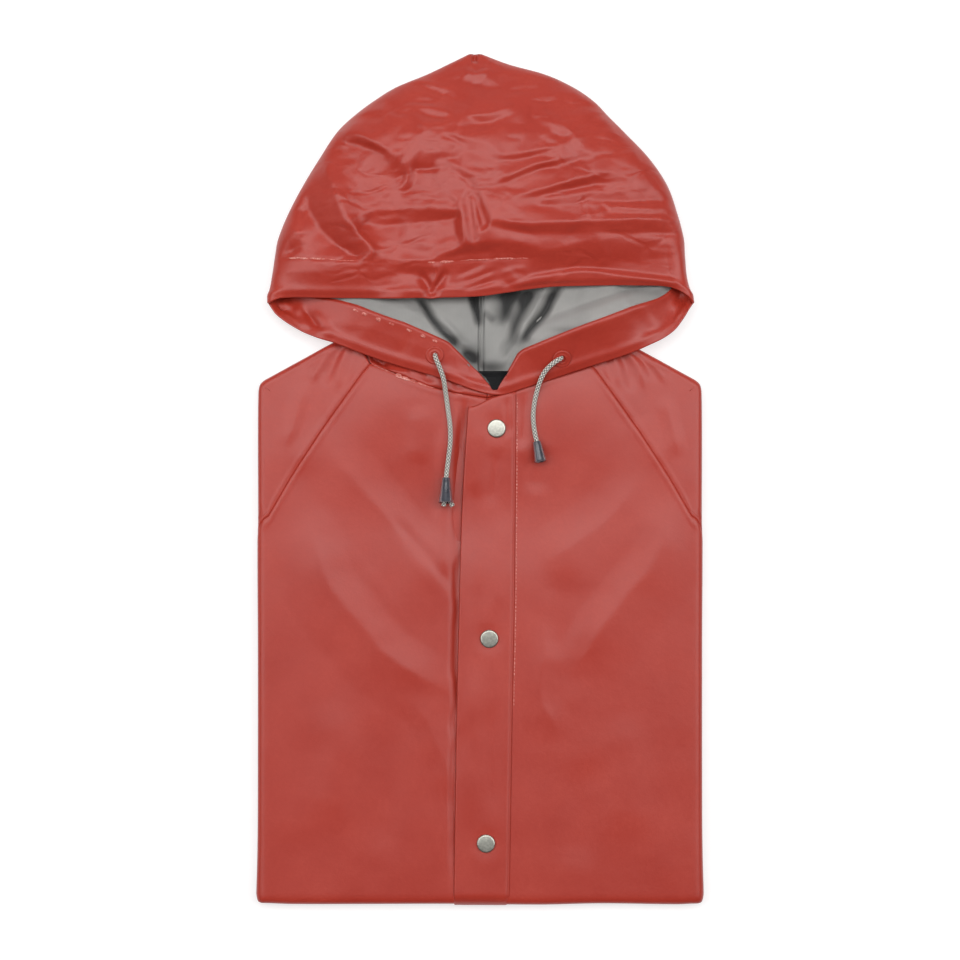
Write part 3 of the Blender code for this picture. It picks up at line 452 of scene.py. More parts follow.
def pvc_coated(name, creased=0.0):
    """PVC film on a knit, calendered to a satin face with a fine leathery grain and soft scuffs.
    The grain is about 0.5 mm across on the real cloth and is drawn at 1.2 mm so that it shows.
    Creased film keeps fine sharp lines, about 15 mm apart, where it has been crushed."""
    material, tree, shader, place = start_material(name, Roughness=0.36, IOR=1.5)
    cloudy = add_node(tree, "TexNoise",
                      {"Vector": place, "Scale": grains(38.5), "Detail": 5.0, "Roughness": 0.6})
    mottle = add_node(tree, "TexNoise",
                      {"Vector": place, "Scale": grains(2.38), "Detail": 3.0, "Roughness": 0.6})
    blend = add_node(tree, "Mix", {0: 0.35, 2: cloudy.outputs["Fac"], 3: mottle.outputs["Fac"]})
    colour = add_node(tree, "ValToRGB", {"Fac": blend.outputs[0]},
                      ((0.30, "#a22d1f"), (0.55, "#a93223"), (0.75, "#b03929")))
    tree.links.new(colour.outputs["Color"], shader.inputs["Base Color"])
    gloss = add_node(tree, "MapRange", {"Value": blend.outputs[0], "From Min": 0.3, "From Max": 0.7,
                                        "To Min": 0.34, "To Max": 0.44})
    tree.links.new(gloss.outputs[0], shader.inputs["Roughness"])
    leather = add_node(tree, "TexVoronoi", {"Vector": place, "Scale": grains(1.18)}, feature="SMOOTH_F1")
    coarse = add_node(tree, "TexNoise", {"Vector": place, "Scale": grains(6.67), "Detail": 4.0})
    bump = add_node(tree, "Bump",
                    {"Height": leather.outputs["Distance"], "Strength": 0.10, "Distance": 0.0003})
    bump = add_node(tree, "Bump", {"Height": coarse.outputs["Fac"], "Strength": 0.10, "Distance": 0.0008,
                                   "Normal": bump.outputs["Normal"]})
    if creased:
        bend = add_node(tree, "TexNoise", {"Vector": place, "Scale": grains(35.7), "Detail": 2.0})
        bent = add_node(tree, "VectorMath", {0: bend.outputs["Color"], 1: (0.03, 0.03, 0.0), 2: place},
                        operation="MULTIPLY_ADD")
        drawn = add_node(tree, "Mapping", {"Vector": bent.outputs["Vector"], "Rotation": (0, 0, 0.25),
                                           "Scale": (0.45, 1.0, 0.3)})
        lines = add_node(tree, "TexVoronoi", {"Vector": drawn.outputs["Vector"], "Scale": grains(14.7)},
                         feature="DISTANCE_TO_EDGE")
        crushed = add_node(tree, "TexNoise", {"Vector": place, "Scale": grains(62.5), "Detail": 1.0})
        where = add_node(tree, "MapRange",
                         {"Value": crushed.outputs["Fac"], "From Min": 0.40, "From Max": 0.62})
        sharp = add_node(tree, "MapRange",
                         {"Value": lines.outputs["Distance"], "From Min": 0.0, "From Max": 0.22},
                         interpolation_type="SMOOTHSTEP")
        held = add_node(tree, "Math", {0: sharp.outputs[0], 1: where.outputs[0]}, operation="MULTIPLY")
        bump = add_node(tree, "Bump", {"Height": held.outputs[0], "Strength": creased, "Distance": 0.0009,
                                       "Normal": bump.outputs["Normal"]})
    tree.links.new(bump.outputs["Normal"], shader.inputs["Normal"])
    return material


def pile_height(y):
    """Height of the top of the pile, by place up the coat."""
    return read(PILE_HEIGHT, y)


def pressed_round(angle):
    """Reach and rise of a fold pressed flatter than a half circle, as shares of its radius."""
    fall = np.cos(angle)
    return np.abs(np.sin(angle)) ** ROLL_SHARP, np.where(fall > 0, np.abs(fall) ** ROLL_SHARP, fall)


def roll_radius(y):
    """Radius of the fold that rolls the front over the pile's edge."""
    return 0.49 * pile_height(y)


def half_width(y):
    """Half width of the folded body at one height, read along its rounded outer edge."""
    if y <= SHOULDER_CORNER[1] - 12:
        return HALF_WIDTH, 1.0
    places, _ = outer_edge(np.linspace(0, 1, 161))
    x, rising = places[::-1, 0], places[::-1, 1]
    reach = float(np.interp(y, rising, x))
    slope = float(np.interp(y + 0.5, rising, x)) - float(np.interp(y - 0.5, rising, x))
    return reach, math.hypot(1.0, min(slope, 0.0) if y < 103 else 1.8)


def layered_profile(y, side):
    """Side of the pile from the surface up: three folds over each other, then the roll of the front."""
    top, radius = float(pile_height(y)), float(roll_radius(y))
    places = []
    for height in np.linspace(0.0, EDGE_LAYERS_SHARE * top, 22):
        layer = int(height / LAYER_FOLD)
        share = height / LAYER_FOLD - layer
        step_in = 0.5 + 0.35 * layer + 0.5 * float(uneven(y, 40.0 * side * (layer + 1), 34.0, 11 + layer))
        places.append((EDGE_LAYERS_IN + step_in - LAYER_BULGE * math.sin(math.pi * share) ** 0.6, height))
    inner = radius - 2.0
    for angle in np.radians(np.linspace(100, 18, 7)):
        places.append((radius - inner * math.sin(angle), top - radius + inner * math.cos(angle) - 0.8))
    return places


def make_layers(material):
    """The pile as rings from its bottom fold to the neck, each round both sides, base and top."""
    radius = roll_radius(BOTTOM)
    core = float(BOTTOM + radius)
    inner = radius - CLOTH - 0.8
    stations = [core - inner * math.cos(math.radians(angle)) for angle in (6, 18, 32, 48, 64, 80)]
    stations += list(np.linspace(core + 1.0, 96.0, 90)) + [98.5, 100.2]
    rings = []
    for y in stations:
        half, stretch = half_width(y)
        top = float(pile_height(y)) - UNDER_FRONT
        lower = []
        for side in (1, -1):
            if y < core:
                span = math.sqrt(max(inner**2 - (core - y) ** 2, 0.01))
                profile = [(radius - span * math.sin(turn), radius - 0.2 - span * math.cos(turn))
                           for turn in np.radians(np.linspace(12, 168, 29))]
            else:
                profile = [(inset, min(height, top)) for inset, height in layered_profile(y, side)]
                lift = 0.9 * float(1 - ease((y - core) / 5))
                profile = [(inset + 1.5 * lift, max(height, lift)) for inset, height in profile]
            if y > 90:
                squeeze = 1 - 0.75 * float(ease((y - 90) / 10.5))
                profile = [(inset + 3 * (1 - squeeze), height * squeeze) for inset, height in profile]
            if y > 50:
                profile = [(inset + 0.5, height) for inset, height in profile]
            lower.append([(side * (half - inset * stretch), y, height) for inset, height in profile])
        right, left = lower
        count = 16
        base_x = np.linspace(left[0][0], right[0][0], count + 1)[1:-1]
        turned_up = 0.5 * float(ease((y + 12) / 3)) * float(ease((84 - y) / 6))
        bottom_line = [(x, y, right[0][2] + turned_up * float(ease((130 - abs(x)) / 4))) for x in base_x]
        top_x = np.linspace(right[-1][0], left[-1][0], count + 1)[1:-1]
        top_line = [(x, y, right[-1][2]) for x in top_x]
        rings.append(bottom_line + right + top_line + left[::-1])
    count = len(rings[0])
    places = [place for ring in rings for place in ring]
    faces = grid_faces(len(rings), count, closed=True)
    faces += [tuple(range(count)), tuple(range(len(places) - 1, len(places) - count - 1, -1))]
    return link_mesh("folded_layers", places, faces, [material])


pvc = pvc_coated("pvc_coated")
layers = make_layers(pvc)
put_on(layers, "hidden_layers")


# ---- Front panels -------------------------------------------------------------------------
# Two panels of coated fabric, 0.6 mm with their knit, joined down the middle under the placket.
# Each runs from the neck and raglan seams down to the bottom fold, and round the side fold.

WALL = 0.6
SIDE_WRAP = math.radians(108)
BOTTOM_WRAP = math.radians(150)
FRONT_MEETING_X = 5.0
RAGLAN_TOP_X = 77.0
RAGLAN_TIP = 16.0
SEAM_DEPTH = 0.42
SEAM_REACH = 0.42
SEAM_RIDGE_FROM = 2.6
CORNER_LIFT = 0.8
FLOOR_CLEARANCE = 0.1

# How far the side fold and the bottom fold stray out from a straight line.
SIDE_FLARE = ((-299, 2.2), (-288, 1.9), (-262, 1.0), (-230, 0.6), (-120, 0.5), (-45, 0.9), (-30, 0.3),
              (30, 0.5), (70, 0.3))
BOTTOM_FLARE = ((-156, -0.6), (-148, 0.0), (-133, 1.2), (-100, 1.3), (-20, 0.9), (42, 1.9), (85, 0.3),
                (137, 1.6), (150, 0.6), (156, 0.0))

NECK_SEAM = ((-77, 80.6), (-65, 76.3), (-52.5, 71.2), (-36.4, 65.1), (-18.2, 60.4),
             (5, 56.6), (25, 62.0), (35, 65.8), (56, 72.8), (77, 80.0))
RAGLAN_SEAM = ((77, 80.6), (82, 75.0), (111, 34.0), (132, 1.5), (148, -26.0))

# Creases. Each is a line of places with the height of its crest or bottom, how far its two
# flanks reach, on the left and right of the line, and how round it is: 1 pinched, 2 rounded.
Crease = namedtuple("Crease", "height left right round line")
BODY_CREASES = (
    Crease(1.8, 14, 18, 1, ((-112, 30), (-103, 16), (-70, -22), (-42, -56), (-12, -92))),
    Crease(-0.7, 4, 6, 1, ((-66, -24), (-50, -39), (-30, -62), (-12, -84))),
    Crease(2.1, 13, 20, 1, ((-124, -16), (-120, -31), (-108, -69), (-82, -104), (-56, -130), (-10, -155))),
    Crease(0.9, 12, 14, 2, ((-110, -150), (-100, -190), (-108, -250))),
    Crease(0.9, 12, 8, 1, ((-52, -146), (-38, -168), (-24, -200), (-18, -230))),
    Crease(-0.8, 14, 14, 2, ((-70, -160), (-66, -210), (-72, -270))),
    Crease(0.8, 8, 8, 2, ((-44, 52), (-42, 34), (-46, 10))),
    Crease(1.2, 20, 14, 1, ((120, 4), (108, -8), (88, -30), (62, -48), (38, -64))),
    Crease(2.1, 20, 13, 1, ((134, -6), (130, -34), (124, -56), (108, -76), (90, -98), (60, -142))),
    Crease(-0.8, 12, 12, 2, ((58, -60), (56, -96), (48, -130))),
    Crease(0.9, 8, 12, 1, ((40, -92), (46, -118), (42, -150), (58, -184))),
    Crease(0.8, 14, 14, 2, ((96, -160), (104, -200), (98, -256))),
    Crease(-0.8, 13, 13, 2, ((68, -190), (72, -230), (66, -276))),
    Crease(0.5, 8, 10, 2, ((-133, 8), (-120, 20), (-104, 40))),
    Crease(0.5, 8, 10, 2, ((133, 10), (120, 24), (106, 42))),
    Crease(-1.3, 2.5, 4, 1, ((-93, 100), (-101, 84), (-109, 64))),
    Crease(0.9, 2.5, 3, 1, ((-95, 102), (-107, 86), (-119, 66))),
    Crease(-0.6, 2, 3, 1, ((-97, 102), (-114, 88), (-128, 72))),
    Crease(0.7, 2, 3, 1, ((-91, 98), (-96, 82), (-100, 60))),
    Crease(-0.5, 2, 2.5, 1, ((-88, 94), (-90, 80), (-93, 66))),
    Crease(0.5, 2, 3, 1, ((-101, 99), (-122, 86), (-140, 72))),
    Crease(0.8, 4, 6, 1, ((-120, 70), (-128, 48), (-136, 20))),
    Crease(-1.2, 4, 2.5, 1, ((93, 101), (101, 82), (106, 60))),
    Crease(0.9, 3, 2.5, 1, ((95, 102), (107, 84), (116, 62))),
    Crease(-0.7, 3, 2, 1, ((97, 102), (112, 86), (124, 66))),
    Crease(0.7, 3, 2, 1, ((99, 101), (118, 84), (132, 64))),
    Crease(-0.5, 2.5, 2, 1, ((103, 99), (124, 84), (139, 70))),
    Crease(0.6, 2.5, 2, 1, ((90, 98), (95, 80), (97, 62))),
    Crease(-0.5, 2, 2, 1, ((87, 94), (89, 80), (91, 66))),
    Crease(0.8, 5, 5, 1, ((128, 60), (134, 38), (140, 14))),
    Crease(-3.8, 5.0, 3.0, 1.6, ((-10.5, 66), (-12.5, 30), (-14.5, -6), (-15.5, -56))),
    Crease(-3.0, 3.5, 2.5, 1.6, ((-15.2, -36), (-16.2, -105), (-17.2, -170))),
    Crease(-1.8, 2.5, 2.0, 1.6, ((-17.0, -130), (-18.4, -220), (-19.4, -296))),
    Crease(1.2, 5, 7, 1.7, ((-22, 52), (-24, 20), (-25, -30), (-27, -80))),
    Crease(-1.3, 5, 4, 1.6, ((31, 62), (30, 44), (28, 18))),
    Crease(0.8, 5, 9, 1.6, ((37, 64), (38, 42), (33, 8))),
    Crease(-0.8, 7, 6, 1.7, ((46, 26), (41, 10), (38, -12))),
)


# Broad swells of the whole front, which the placket follows.
BODY_SWELLS = (
    Crease(3.0, 22, 34, 2, ((-112, 44), (-60, 62), (0, 58), (60, 62), (112, 44))),
    Crease(-2.6, 32, 34, 2, ((-150, 6), (-70, -16), (0, -24), (70, -16), (150, 6))),
)


def crease_heights(table, x, y, shape_noise=1.0, crest=0.6):
    """Height that a table of creases adds at each place: they waver a little and fade at their ends.
    A crease of round 1 has flat flanks that meet in a sharp crest, as in a folded facet."""
    x = x + shape_noise * uneven(x, y, 13.0, 5)
    y = y + shape_noise * uneven(x, y, 13.0, 6)
    total = np.zeros_like(x)
    for crease in table:
        line = smooth_route(crease.line, 3.0)
        margin = 3.2 * max(crease.left, crease.right)
        low, high = line.min(axis=0) - margin, line.max(axis=0) + margin
        inside = (x > low[0]) & (x < high[0]) & (y > low[1]) & (y < high[1])
        px, py = x[inside], y[inside]
        steps = np.linalg.norm(np.diff(line, axis=0), axis=1)
        walked, whole = 0.0, steps.sum()
        nearest = np.full(px.shape, 1e9)
        along = np.zeros_like(px)
        aside = np.zeros_like(px)
        for (ax, ay), (bx, by), step in zip(line, line[1:], steps):
            t = np.clip(((px - ax) * (bx - ax) + (py - ay) * (by - ay)) / step**2, 0, 1)
            dx, dy = px - (ax + (bx - ax) * t), py - (ay + (by - ay) * t)
            distance = np.hypot(dx, dy)
            closer = distance < nearest
            nearest = np.where(closer, distance, nearest)
            along = np.where(closer, (walked + t * step) / whole, along)
            aside = np.where(closer, ((bx - ax) * dy - (by - ay) * dx) / step, aside)
            walked += step
        flank = crease.right + (crease.left - crease.right) * ease(0.5 + aside / 2.0)
        soft = np.sqrt(nearest**2 + crest**2) - crest
        fade = ease(along / 0.28) * ease((1 - along) / 0.28)
        if crease.round > 1:
            shape = np.exp(-((soft / flank) ** crease.round))
        else:
            shape = np.clip(1 - soft / (1.6 * flank), 0, 1) ** 1.3
        total[inside] += crease.height * fade * shape
    return total


def body_swell(x, y):
    """The pile's top with its broad swells."""
    return pile_height(y) + crease_heights(BODY_SWELLS, x, y)


def body_top(x, y):
    """Outer face of the front of the body, with its creases."""
    x, y = np.asarray(x, float), np.asarray(y, float)
    loose = 0.22 * uneven(x, y, 38.0, 21) + 0.10 * uneven(x, y, 17.0, 22)
    return body_swell(x, y) + crease_heights(BODY_CREASES, x, y) + loose


def cloth(name, grid, materials, faces_up, thickness=WALL, hollow=None):
    """A sheet of cloth from a grid of places on its face, its wall built inward from there.
    hollow, where it is given, is painted shade: for each place, how far its colour is darkened for lying deep
    in a fold or in shadow."""
    rows, columns = grid.shape[:2]
    edge_a = grid[1:, :-1] - grid[:-1, :-1]
    edge_b = grid[:-1, 1:] - grid[:-1, :-1]
    upward = np.cross(edge_b, edge_a)[..., 2].sum() > 0
    if upward != faces_up:
        grid = grid[:, ::-1]
        hollow = None if hollow is None else hollow[:, ::-1]
    item = link_mesh(name, grid.reshape(-1, 3), grid_faces(rows, columns), materials)
    if hollow is not None:
        mark_places(item, "hollow", hollow)
    wall = item.modifiers.new("wall", "SOLIDIFY")
    wall.thickness = thickness * MM
    wall.offset = -1.0
    if len(materials) > 1:
        wall.material_offset = 1
    return item


def roll_out(x, y, side, side_share, down_share):
    """Places of the body's rolled edge: how far round the side and round the bottom fold they are."""
    radius = roll_radius(y)
    turn = np.maximum(side_share, down_share)
    length = np.maximum((side_share**5 + down_share**5) ** (1 / 5), 1e-9)
    way_x, way_y = side * side_share / length, -down_share / length
    angle = (SIDE_WRAP * way_x**2 + BOTTOM_WRAP * way_y**2) * turn
    reach, rise = pressed_round(angle)
    out_x = x + way_x * radius * reach + side * side_share * read(SIDE_FLARE, y)
    out_y = y + way_y * radius * reach - down_share * read(BOTTOM_FLARE, x)
    lowest = np.where(side_share * down_share > 0.3, CORNER_LIFT, FLOOR_CLEARANCE)
    return np.stack([out_x, out_y, np.maximum(body_top(x, y) - radius + radius * rise, lowest)], axis=-1)


def seam_dip(distance, ridge):
    """How far cloth dips into a welded seam, by distance from it, less the ridge that follows."""
    return (SEAM_DEPTH * np.exp(-((distance / SEAM_REACH) ** 1.5))
            - ridge * np.exp(-(((distance - SEAM_RIDGE_FROM) / 1.5) ** 2)))


def front_grid(side):
    """Grid of one front panel: from the centre to round the side, from its top to round the fold."""
    reach = HALF_WIDTH - float(roll_radius(BOTTOM))
    start = FRONT_MEETING_X + side * 0.1
    flat = np.concatenate([np.linspace(start, side * RAGLAN_TOP_X, 53)[:-1],
                           side * np.linspace(RAGLAN_TOP_X, reach, 47)])
    roll = np.linspace(0, 1, 15)[1:]
    x = np.concatenate([flat, np.full(len(roll), side * reach)])
    side_share = np.concatenate([np.zeros(len(flat)), roll])
    at_neck = np.abs(x) <= RAGLAN_TOP_X
    top = np.where(at_neck, straight(NECK_SEAM, x), straight(RAGLAN_SEAM, np.abs(x)))
    top = top - 0.03 - side_share * RAGLAN_TIP
    bottom = BOTTOM + float(roll_radius(BOTTOM))
    shares = np.concatenate([[0, 0.0006, 0.0013, 0.0022, 0.0045, 0.008], np.linspace(0.0125, 1, 190)])
    y = top + (bottom - top) * shares[:, None]
    grid = roll_out(np.broadcast_to(x, y.shape), y, side, np.broadcast_to(side_share, y.shape),
                    np.zeros_like(y))
    grid[..., 2] -= seam_dip((top - y) * np.where(at_neck, 0.95, 0.57), ridge=0.25)
    down = np.linspace(0, 1, 17)[1:, None]
    fold_x = np.broadcast_to(x, (len(down), len(x)))
    fold = roll_out(fold_x, np.full_like(fold_x, bottom), side, np.broadcast_to(side_share, fold_x.shape),
                    np.broadcast_to(down, fold_x.shape))
    return np.concatenate([grid, fold])


for side, name in ((-1, "right"), (1, "left")):
    front = cloth(f"front_{name}_panel", front_grid(side), [pvc], faces_up=True)
    put_on(front, f"front_{name}")


# ---- Sleeves ------------------------------------------------------------------------------
# The shoulder of each raglan sleeve, joined to the front by a slanting welded seam. It runs
# out to the shoulder edge, where it is folded flat to the back with the rest of the sleeve.

SLEEVE_ROWS = 90
SLEEVE_STEPS = 68
SEAM_ON_FLAT = 0.9
SEAM_ROLL_END = 0.82


def seam_point(share):
    """The sleeve's side of the raglan seam: x and y on the flat, and share of the side roll."""
    reach = HALF_WIDTH - float(roll_radius(BOTTOM))
    x = RAGLAN_TOP_X + (reach - RAGLAN_TOP_X) * min(share / SEAM_ON_FLAT, 1.0)
    roll = max(0.0, (share - SEAM_ON_FLAT) / (1 - SEAM_ON_FLAT)) * SEAM_ROLL_END
    return x, float(straight(RAGLAN_SEAM, x)) - roll * RAGLAN_TIP, roll


def sleeve_grid(side):
    """Grid of one shoulder: rows from the raglan seam out over the flat, then round the edge."""
    half_steps = SLEEVE_STEPS // 2
    near_seam = np.array([0, 0.003, 0.0065, 0.012, 0.022, 0.04])
    rows = []
    for share in np.arange(SLEEVE_ROWS + 1) / SLEEVE_ROWS:
        seam_x, seam_y, roll = seam_point(share)
        edge, inward = outer_edge(share)
        edge, inward = edge[0], inward[0]
        radius = float(roll_radius(edge[1]))
        core = edge + inward * radius
        if roll > 0:
            core = np.array((core[0], seam_y))
        seam = np.array((seam_x, seam_y))
        flat = float(np.linalg.norm(core - seam)) if roll == 0 else 0.0
        start = SIDE_WRAP * roll
        arc = radius * (SIDE_WRAP - start)
        split = max(flat, 0.35 * arc)
        spots = np.concatenate([near_seam * split, np.linspace(0.07, 1, half_steps - 5) * split,
                                np.linspace(split, flat + arc, half_steps + 1)[1:]])
        on_flat = spots < flat
        place = np.where(on_flat[:, None], seam + (core - seam) * (spots / max(flat, 1e-6))[:, None], core)
        angle = np.where(on_flat, 0.0, start + (spots - flat) / radius)
        rows.append((place, angle, np.full_like(spots, radius), np.tile(inward, (len(spots), 1)), spots))
    place, angle, radius, inward, from_seam = (np.stack(column) for column in zip(*rows))
    reach, rise = pressed_round(angle)
    height = body_top(side * place[..., 0], place[..., 1]) - radius + radius * rise
    height -= seam_dip(from_seam, ridge=0.2)
    wide = read(SIDE_FLARE, place[..., 1]) * (angle / SIDE_WRAP) * (1 - ease((place[..., 1] - 50) / 20))
    out = place - inward * (radius * reach + wide)[..., None]
    return np.stack([side * out[..., 0], out[..., 1], height], axis=-1)


for side, name in ((-1, "right"), (1, "left")):
    sleeve = cloth(f"sleeve_{name}_shoulder", sleeve_grid(side), [pvc], faces_up=True)
    put_on(sleeve, f"sleeve_{name}")


# ---- Placket ------------------------------------------------------------------------------
# A strip of the same cloth that covers the front opening, folded double along its free edge
# on the wearer's right, stitched down along the other, and closed with three press studs.

PLACKET_FREE = ((-299, -18.6), (-183, -16.9), (-85, -14.7), (-15, -12.6), (50, -8.5))
PLACKET_SEAM = ((-299, 20.6), (-155, 22.8), (-85, 24.2), (0, 24.9), (62, 25.2))
PLACKET_TOP = ((-9, 50.3), (-2.8, 51.3), (8, 56.8), (25.5, 61.6))
PLACKET_WRAP = math.radians(118)
PLACKET_LIFT = CLOTH + GAP

# How far its face drops: at its folded edge, where it is stitched down and round each stud.
FOLD_THICKNESS = 1.7
STITCHED_DOWN = 1.15
SNAP_DIMPLE = 0.45

SNAPS = {"snap_1": (11.6, 35.3), "snap_2": (6.5, -111.7), "snap_3": (4.2, -254.7)}
SNAP_LEANS = {"snap_1": 0.0, "snap_2": -0.045, "snap_3": 0.0}
PLACKET_CREASES = (
    Crease(0.7, 6, 6, 1.8, ((2, 46), (0, 20), (-4, -16))),
    Crease(-0.6, 5, 5, 1.8, ((12, 24), (9, 4), (6, -22))),
    Crease(0.5, 7, 6, 1.8, ((16, -20), (13, -60), (12, -100))),
    Crease(-0.4, 6, 6, 1.8, ((2, -60), (-2, -100), (-2, -150))),
    Crease(0.5, 6, 7, 1.8, ((-6, -130), (-5, -190), (-8, -250))),
    Crease(-0.4, 5, 5, 1.8, ((10, -150), (9, -200), (8, -240))),
    Crease(-0.9, 3.2, 3.2, 1.6, ((19.5, 60), (19.0, 46), (20.5, 28))),
)


def placket_face(x, y, share):
    """Height of the placket's outer face; share runs from its free edge to its seam."""
    width = read(PLACKET_SEAM, y) - read(PLACKET_FREE, y)
    from_free, from_seam = share * width, (1 - share) * width
    lift = PLACKET_LIFT + 0.9 * np.exp(-((from_free / 7.0) ** 2)) * ease((y + 200) / 200)
    past_fold = np.clip(from_free / 1.1, 0, 1)
    rolled = FOLD_THICKNESS * (1 - np.sqrt(np.clip(1 - (1 - past_fold) ** 2, 0, 1)))
    sewn = STITCHED_DOWN * (1 - ease(from_seam / 3.0))
    pressed = sum(SNAP_DIMPLE * np.exp(-(np.hypot(x - sx, y - sy) / 9.5) ** 4) for sx, sy in SNAPS.values())
    swell = body_swell(x, y)
    proud = body_top(x, y) - swell
    smooth = swell + 0.35 * uneven(x, y, 30.0, 31) + 0.25 * (proud + np.sqrt(proud**2 + 0.12))
    return smooth + crease_heights(PLACKET_CREASES, x, y) + lift - rolled - sewn - pressed


def placket_grid():
    """Grid of the strip, from its slanting top down to the bottom fold and round it."""
    radius = float(roll_radius(BOTTOM))
    core_y = BOTTOM + radius
    share = np.concatenate([[0, 0.006, 0.014, 0.026], np.linspace(0.042, 0.95, 40), [0.965, 0.98, 1.0]])
    top = read(PLACKET_TOP, PLACKET_FREE[-1][1] + (PLACKET_SEAM[-1][1] - PLACKET_FREE[-1][1]) * share)
    down = np.concatenate([[0, 0.002, 0.005], np.linspace(0.009, 1, 200)])[:, None]
    y = top + (core_y - top) * down
    x = read(PLACKET_FREE, y) + (read(PLACKET_SEAM, y) - read(PLACKET_FREE, y)) * share
    z = placket_face(x, y, np.broadcast_to(share, y.shape)) - 0.5 * np.exp(-((top - y) / 0.8) ** 2)
    flat = np.stack([x, y, z], axis=-1)
    turn = np.linspace(0, PLACKET_WRAP, 17)[1:, None]
    reach = radius + flat[-1:, :, 2] - float(pile_height(core_y))
    roll = np.stack([np.broadcast_to(x[-1:], (len(turn), len(share))), core_y - reach * np.sin(turn),
                     float(pile_height(core_y)) - radius + reach * np.cos(turn)], axis=-1)
    return np.concatenate([flat, roll])


placket = cloth("placket_strip", placket_grid(), [pvc], faces_up=True)
put_on(placket, "placket")


# ---- Press studs --------------------------------------------------------------------------
# Pressed brass caps, 13 mm across, nickel plated and tumbled to a satin face. Each is riveted
# through the placket and snaps onto a stud on the panel below.

SNAP_RADIUS = 6.5
SNAP_HEIGHT = 1.7
SNAP_FOOT = 0.25
SNAP_SIDES = 64


def satin_nickel():
    """Plated metal with a fine tumbled haze; it mirrors the soft boxes as a pale warm grey."""
    material, tree, shader, place = start_material("satin_nickel", Metallic=1.0, Roughness=0.34)
    haze = add_node(tree, "TexNoise", {"Vector": place, "Scale": grains(1.43), "Detail": 4.0})
    colour = add_node(tree, "ValToRGB", {"Fac": haze.outputs["Fac"]}, ((0.3, "#a1a198"), (0.7, "#bab9af")))
    tree.links.new(colour.outputs["Color"], shader.inputs["Base Color"])
    rough = add_node(tree, "MapRange", {"Value": haze.outputs["Fac"], "To Min": 0.28, "To Max": 0.42})
    tree.links.new(rough.outputs[0], shader.inputs["Roughness"])
    bump = add_node(tree, "Bump", {"Height": haze.outputs["Fac"], "Strength": 0.06, "Distance": 0.0002})
    tree.links.new(bump.outputs["Normal"], shader.inputs["Normal"])
    return material


nickel = satin_nickel()
for name, (x, y) in SNAPS.items():
    profile = [(0.0, SNAP_HEIGHT)]
    for share in np.linspace(0.12, 0.86, 9):
        profile.append((SNAP_RADIUS * share, SNAP_HEIGHT - 0.22 * share**2.2))
    profile += [(SNAP_RADIUS * 0.91, SNAP_HEIGHT - 0.24), (SNAP_RADIUS * 0.95, SNAP_HEIGHT - 0.45),
                (SNAP_RADIUS * 0.975, SNAP_HEIGHT - 0.8), (SNAP_RADIUS * 0.985, SNAP_HEIGHT - 1.25),
                (SNAP_RADIUS - 0.25, 0.1), (SNAP_RADIUS - 0.6, -SNAP_FOOT), (0.0, -SNAP_FOOT)]
    cap = turned_mesh(f"{name}_cap", profile, SNAP_SIDES, [nickel])
    share = (x - float(read(PLACKET_FREE, y))) / float(read(PLACKET_SEAM, y) - read(PLACKET_FREE, y))
    face = float(placket_face(*np.array([[x], [y], [share]]))[0])
    seat_on(cap, (x, y, face + SNAP_FOOT), (0, SNAP_LEANS[name], 1))
    put_on(cap, name)


# ---- Neck bands ---------------------------------------------------------------------------
# The lower edge of the hood, welded to the coat along the neck seam. Only a narrow strip of
# it shows under the rim, puckered where the seam pulls it in.

NECK_BAND_END = 76.4
NECK_BAND_DEPTH = 25
NECK_TUCK = 0.3
NECK_CREASES = (
    Crease(-1.2, 2.5, 4, 1.3, ((-34, 66), (-38, 74), (-46, 84))),
    Crease(0.8, 3, 3, 1.4, ((-28, 63), (-32, 72), (-38, 80))),
    Crease(-4.5, 3.5, 3.5, 2, ((-78, 88), (-72, 85), (-66, 80.5), (-62, 79))),
    Crease(1.6, 3, 5, 1, ((-66, 76.5), (-58, 75), (-48, 74))),
    Crease(-1.0, 2, 3, 1.3, ((-14, 60), (-16, 68), (-20, 76))),
    Crease(-1.3, 3, 4, 1.4, ((18, 60), (24, 68), (34, 76))),
    Crease(0.8, 3, 3, 1.4, ((32, 65), (38, 74), (44, 82))),
    Crease(-1.0, 3, 3, 1.4, ((48, 70), (54, 80), (60, 88))),
)


def neck_grid(side):
    """Grid of half the band: up from the neck seam, tucked in under the hood's rim."""
    start, end = FRONT_MEETING_X + side * 0.2, side * NECK_BAND_END
    across = np.linspace(0, 1, 70)
    depth = np.concatenate([[0, 0.4, 0.9, 1.6], np.linspace(2.5, NECK_BAND_DEPTH, 22)])[:, None]
    x = start + (end - start) * across
    reach = depth * (1 - 0.6 * across)
    y = straight(NECK_SEAM, x) + 0.12 + reach
    x = x + reach * 0.35 * side * across
    tucked = NECK_TUCK * ease((depth - 1.0) / 6.0)
    z = body_top(x, y) + crease_heights(NECK_CREASES, x, y) - 0.9 * np.exp(-((reach / 0.9) ** 1.3)) - tucked
    return np.stack([x, y, z], axis=-1)


for side, name in ((-1, "right"), (1, "left")):
    band = cloth(f"neck_band_{name}_strip", neck_grid(side), [pvc], faces_up=True)
    put_on(band, f"neck_band_{name}")


def surface_of(*items):
    """Outer faces of made pieces as one surface, to lay seams on."""
    places, faces = [], []
    for item in items:
        start = len(places)
        places += [tuple(vertex.co) for vertex in item.data.vertices]
        faces += [tuple(start + corner for corner in face.vertices) for face in item.data.polygons]
    return BVHTree.FromPolygons(places, faces)


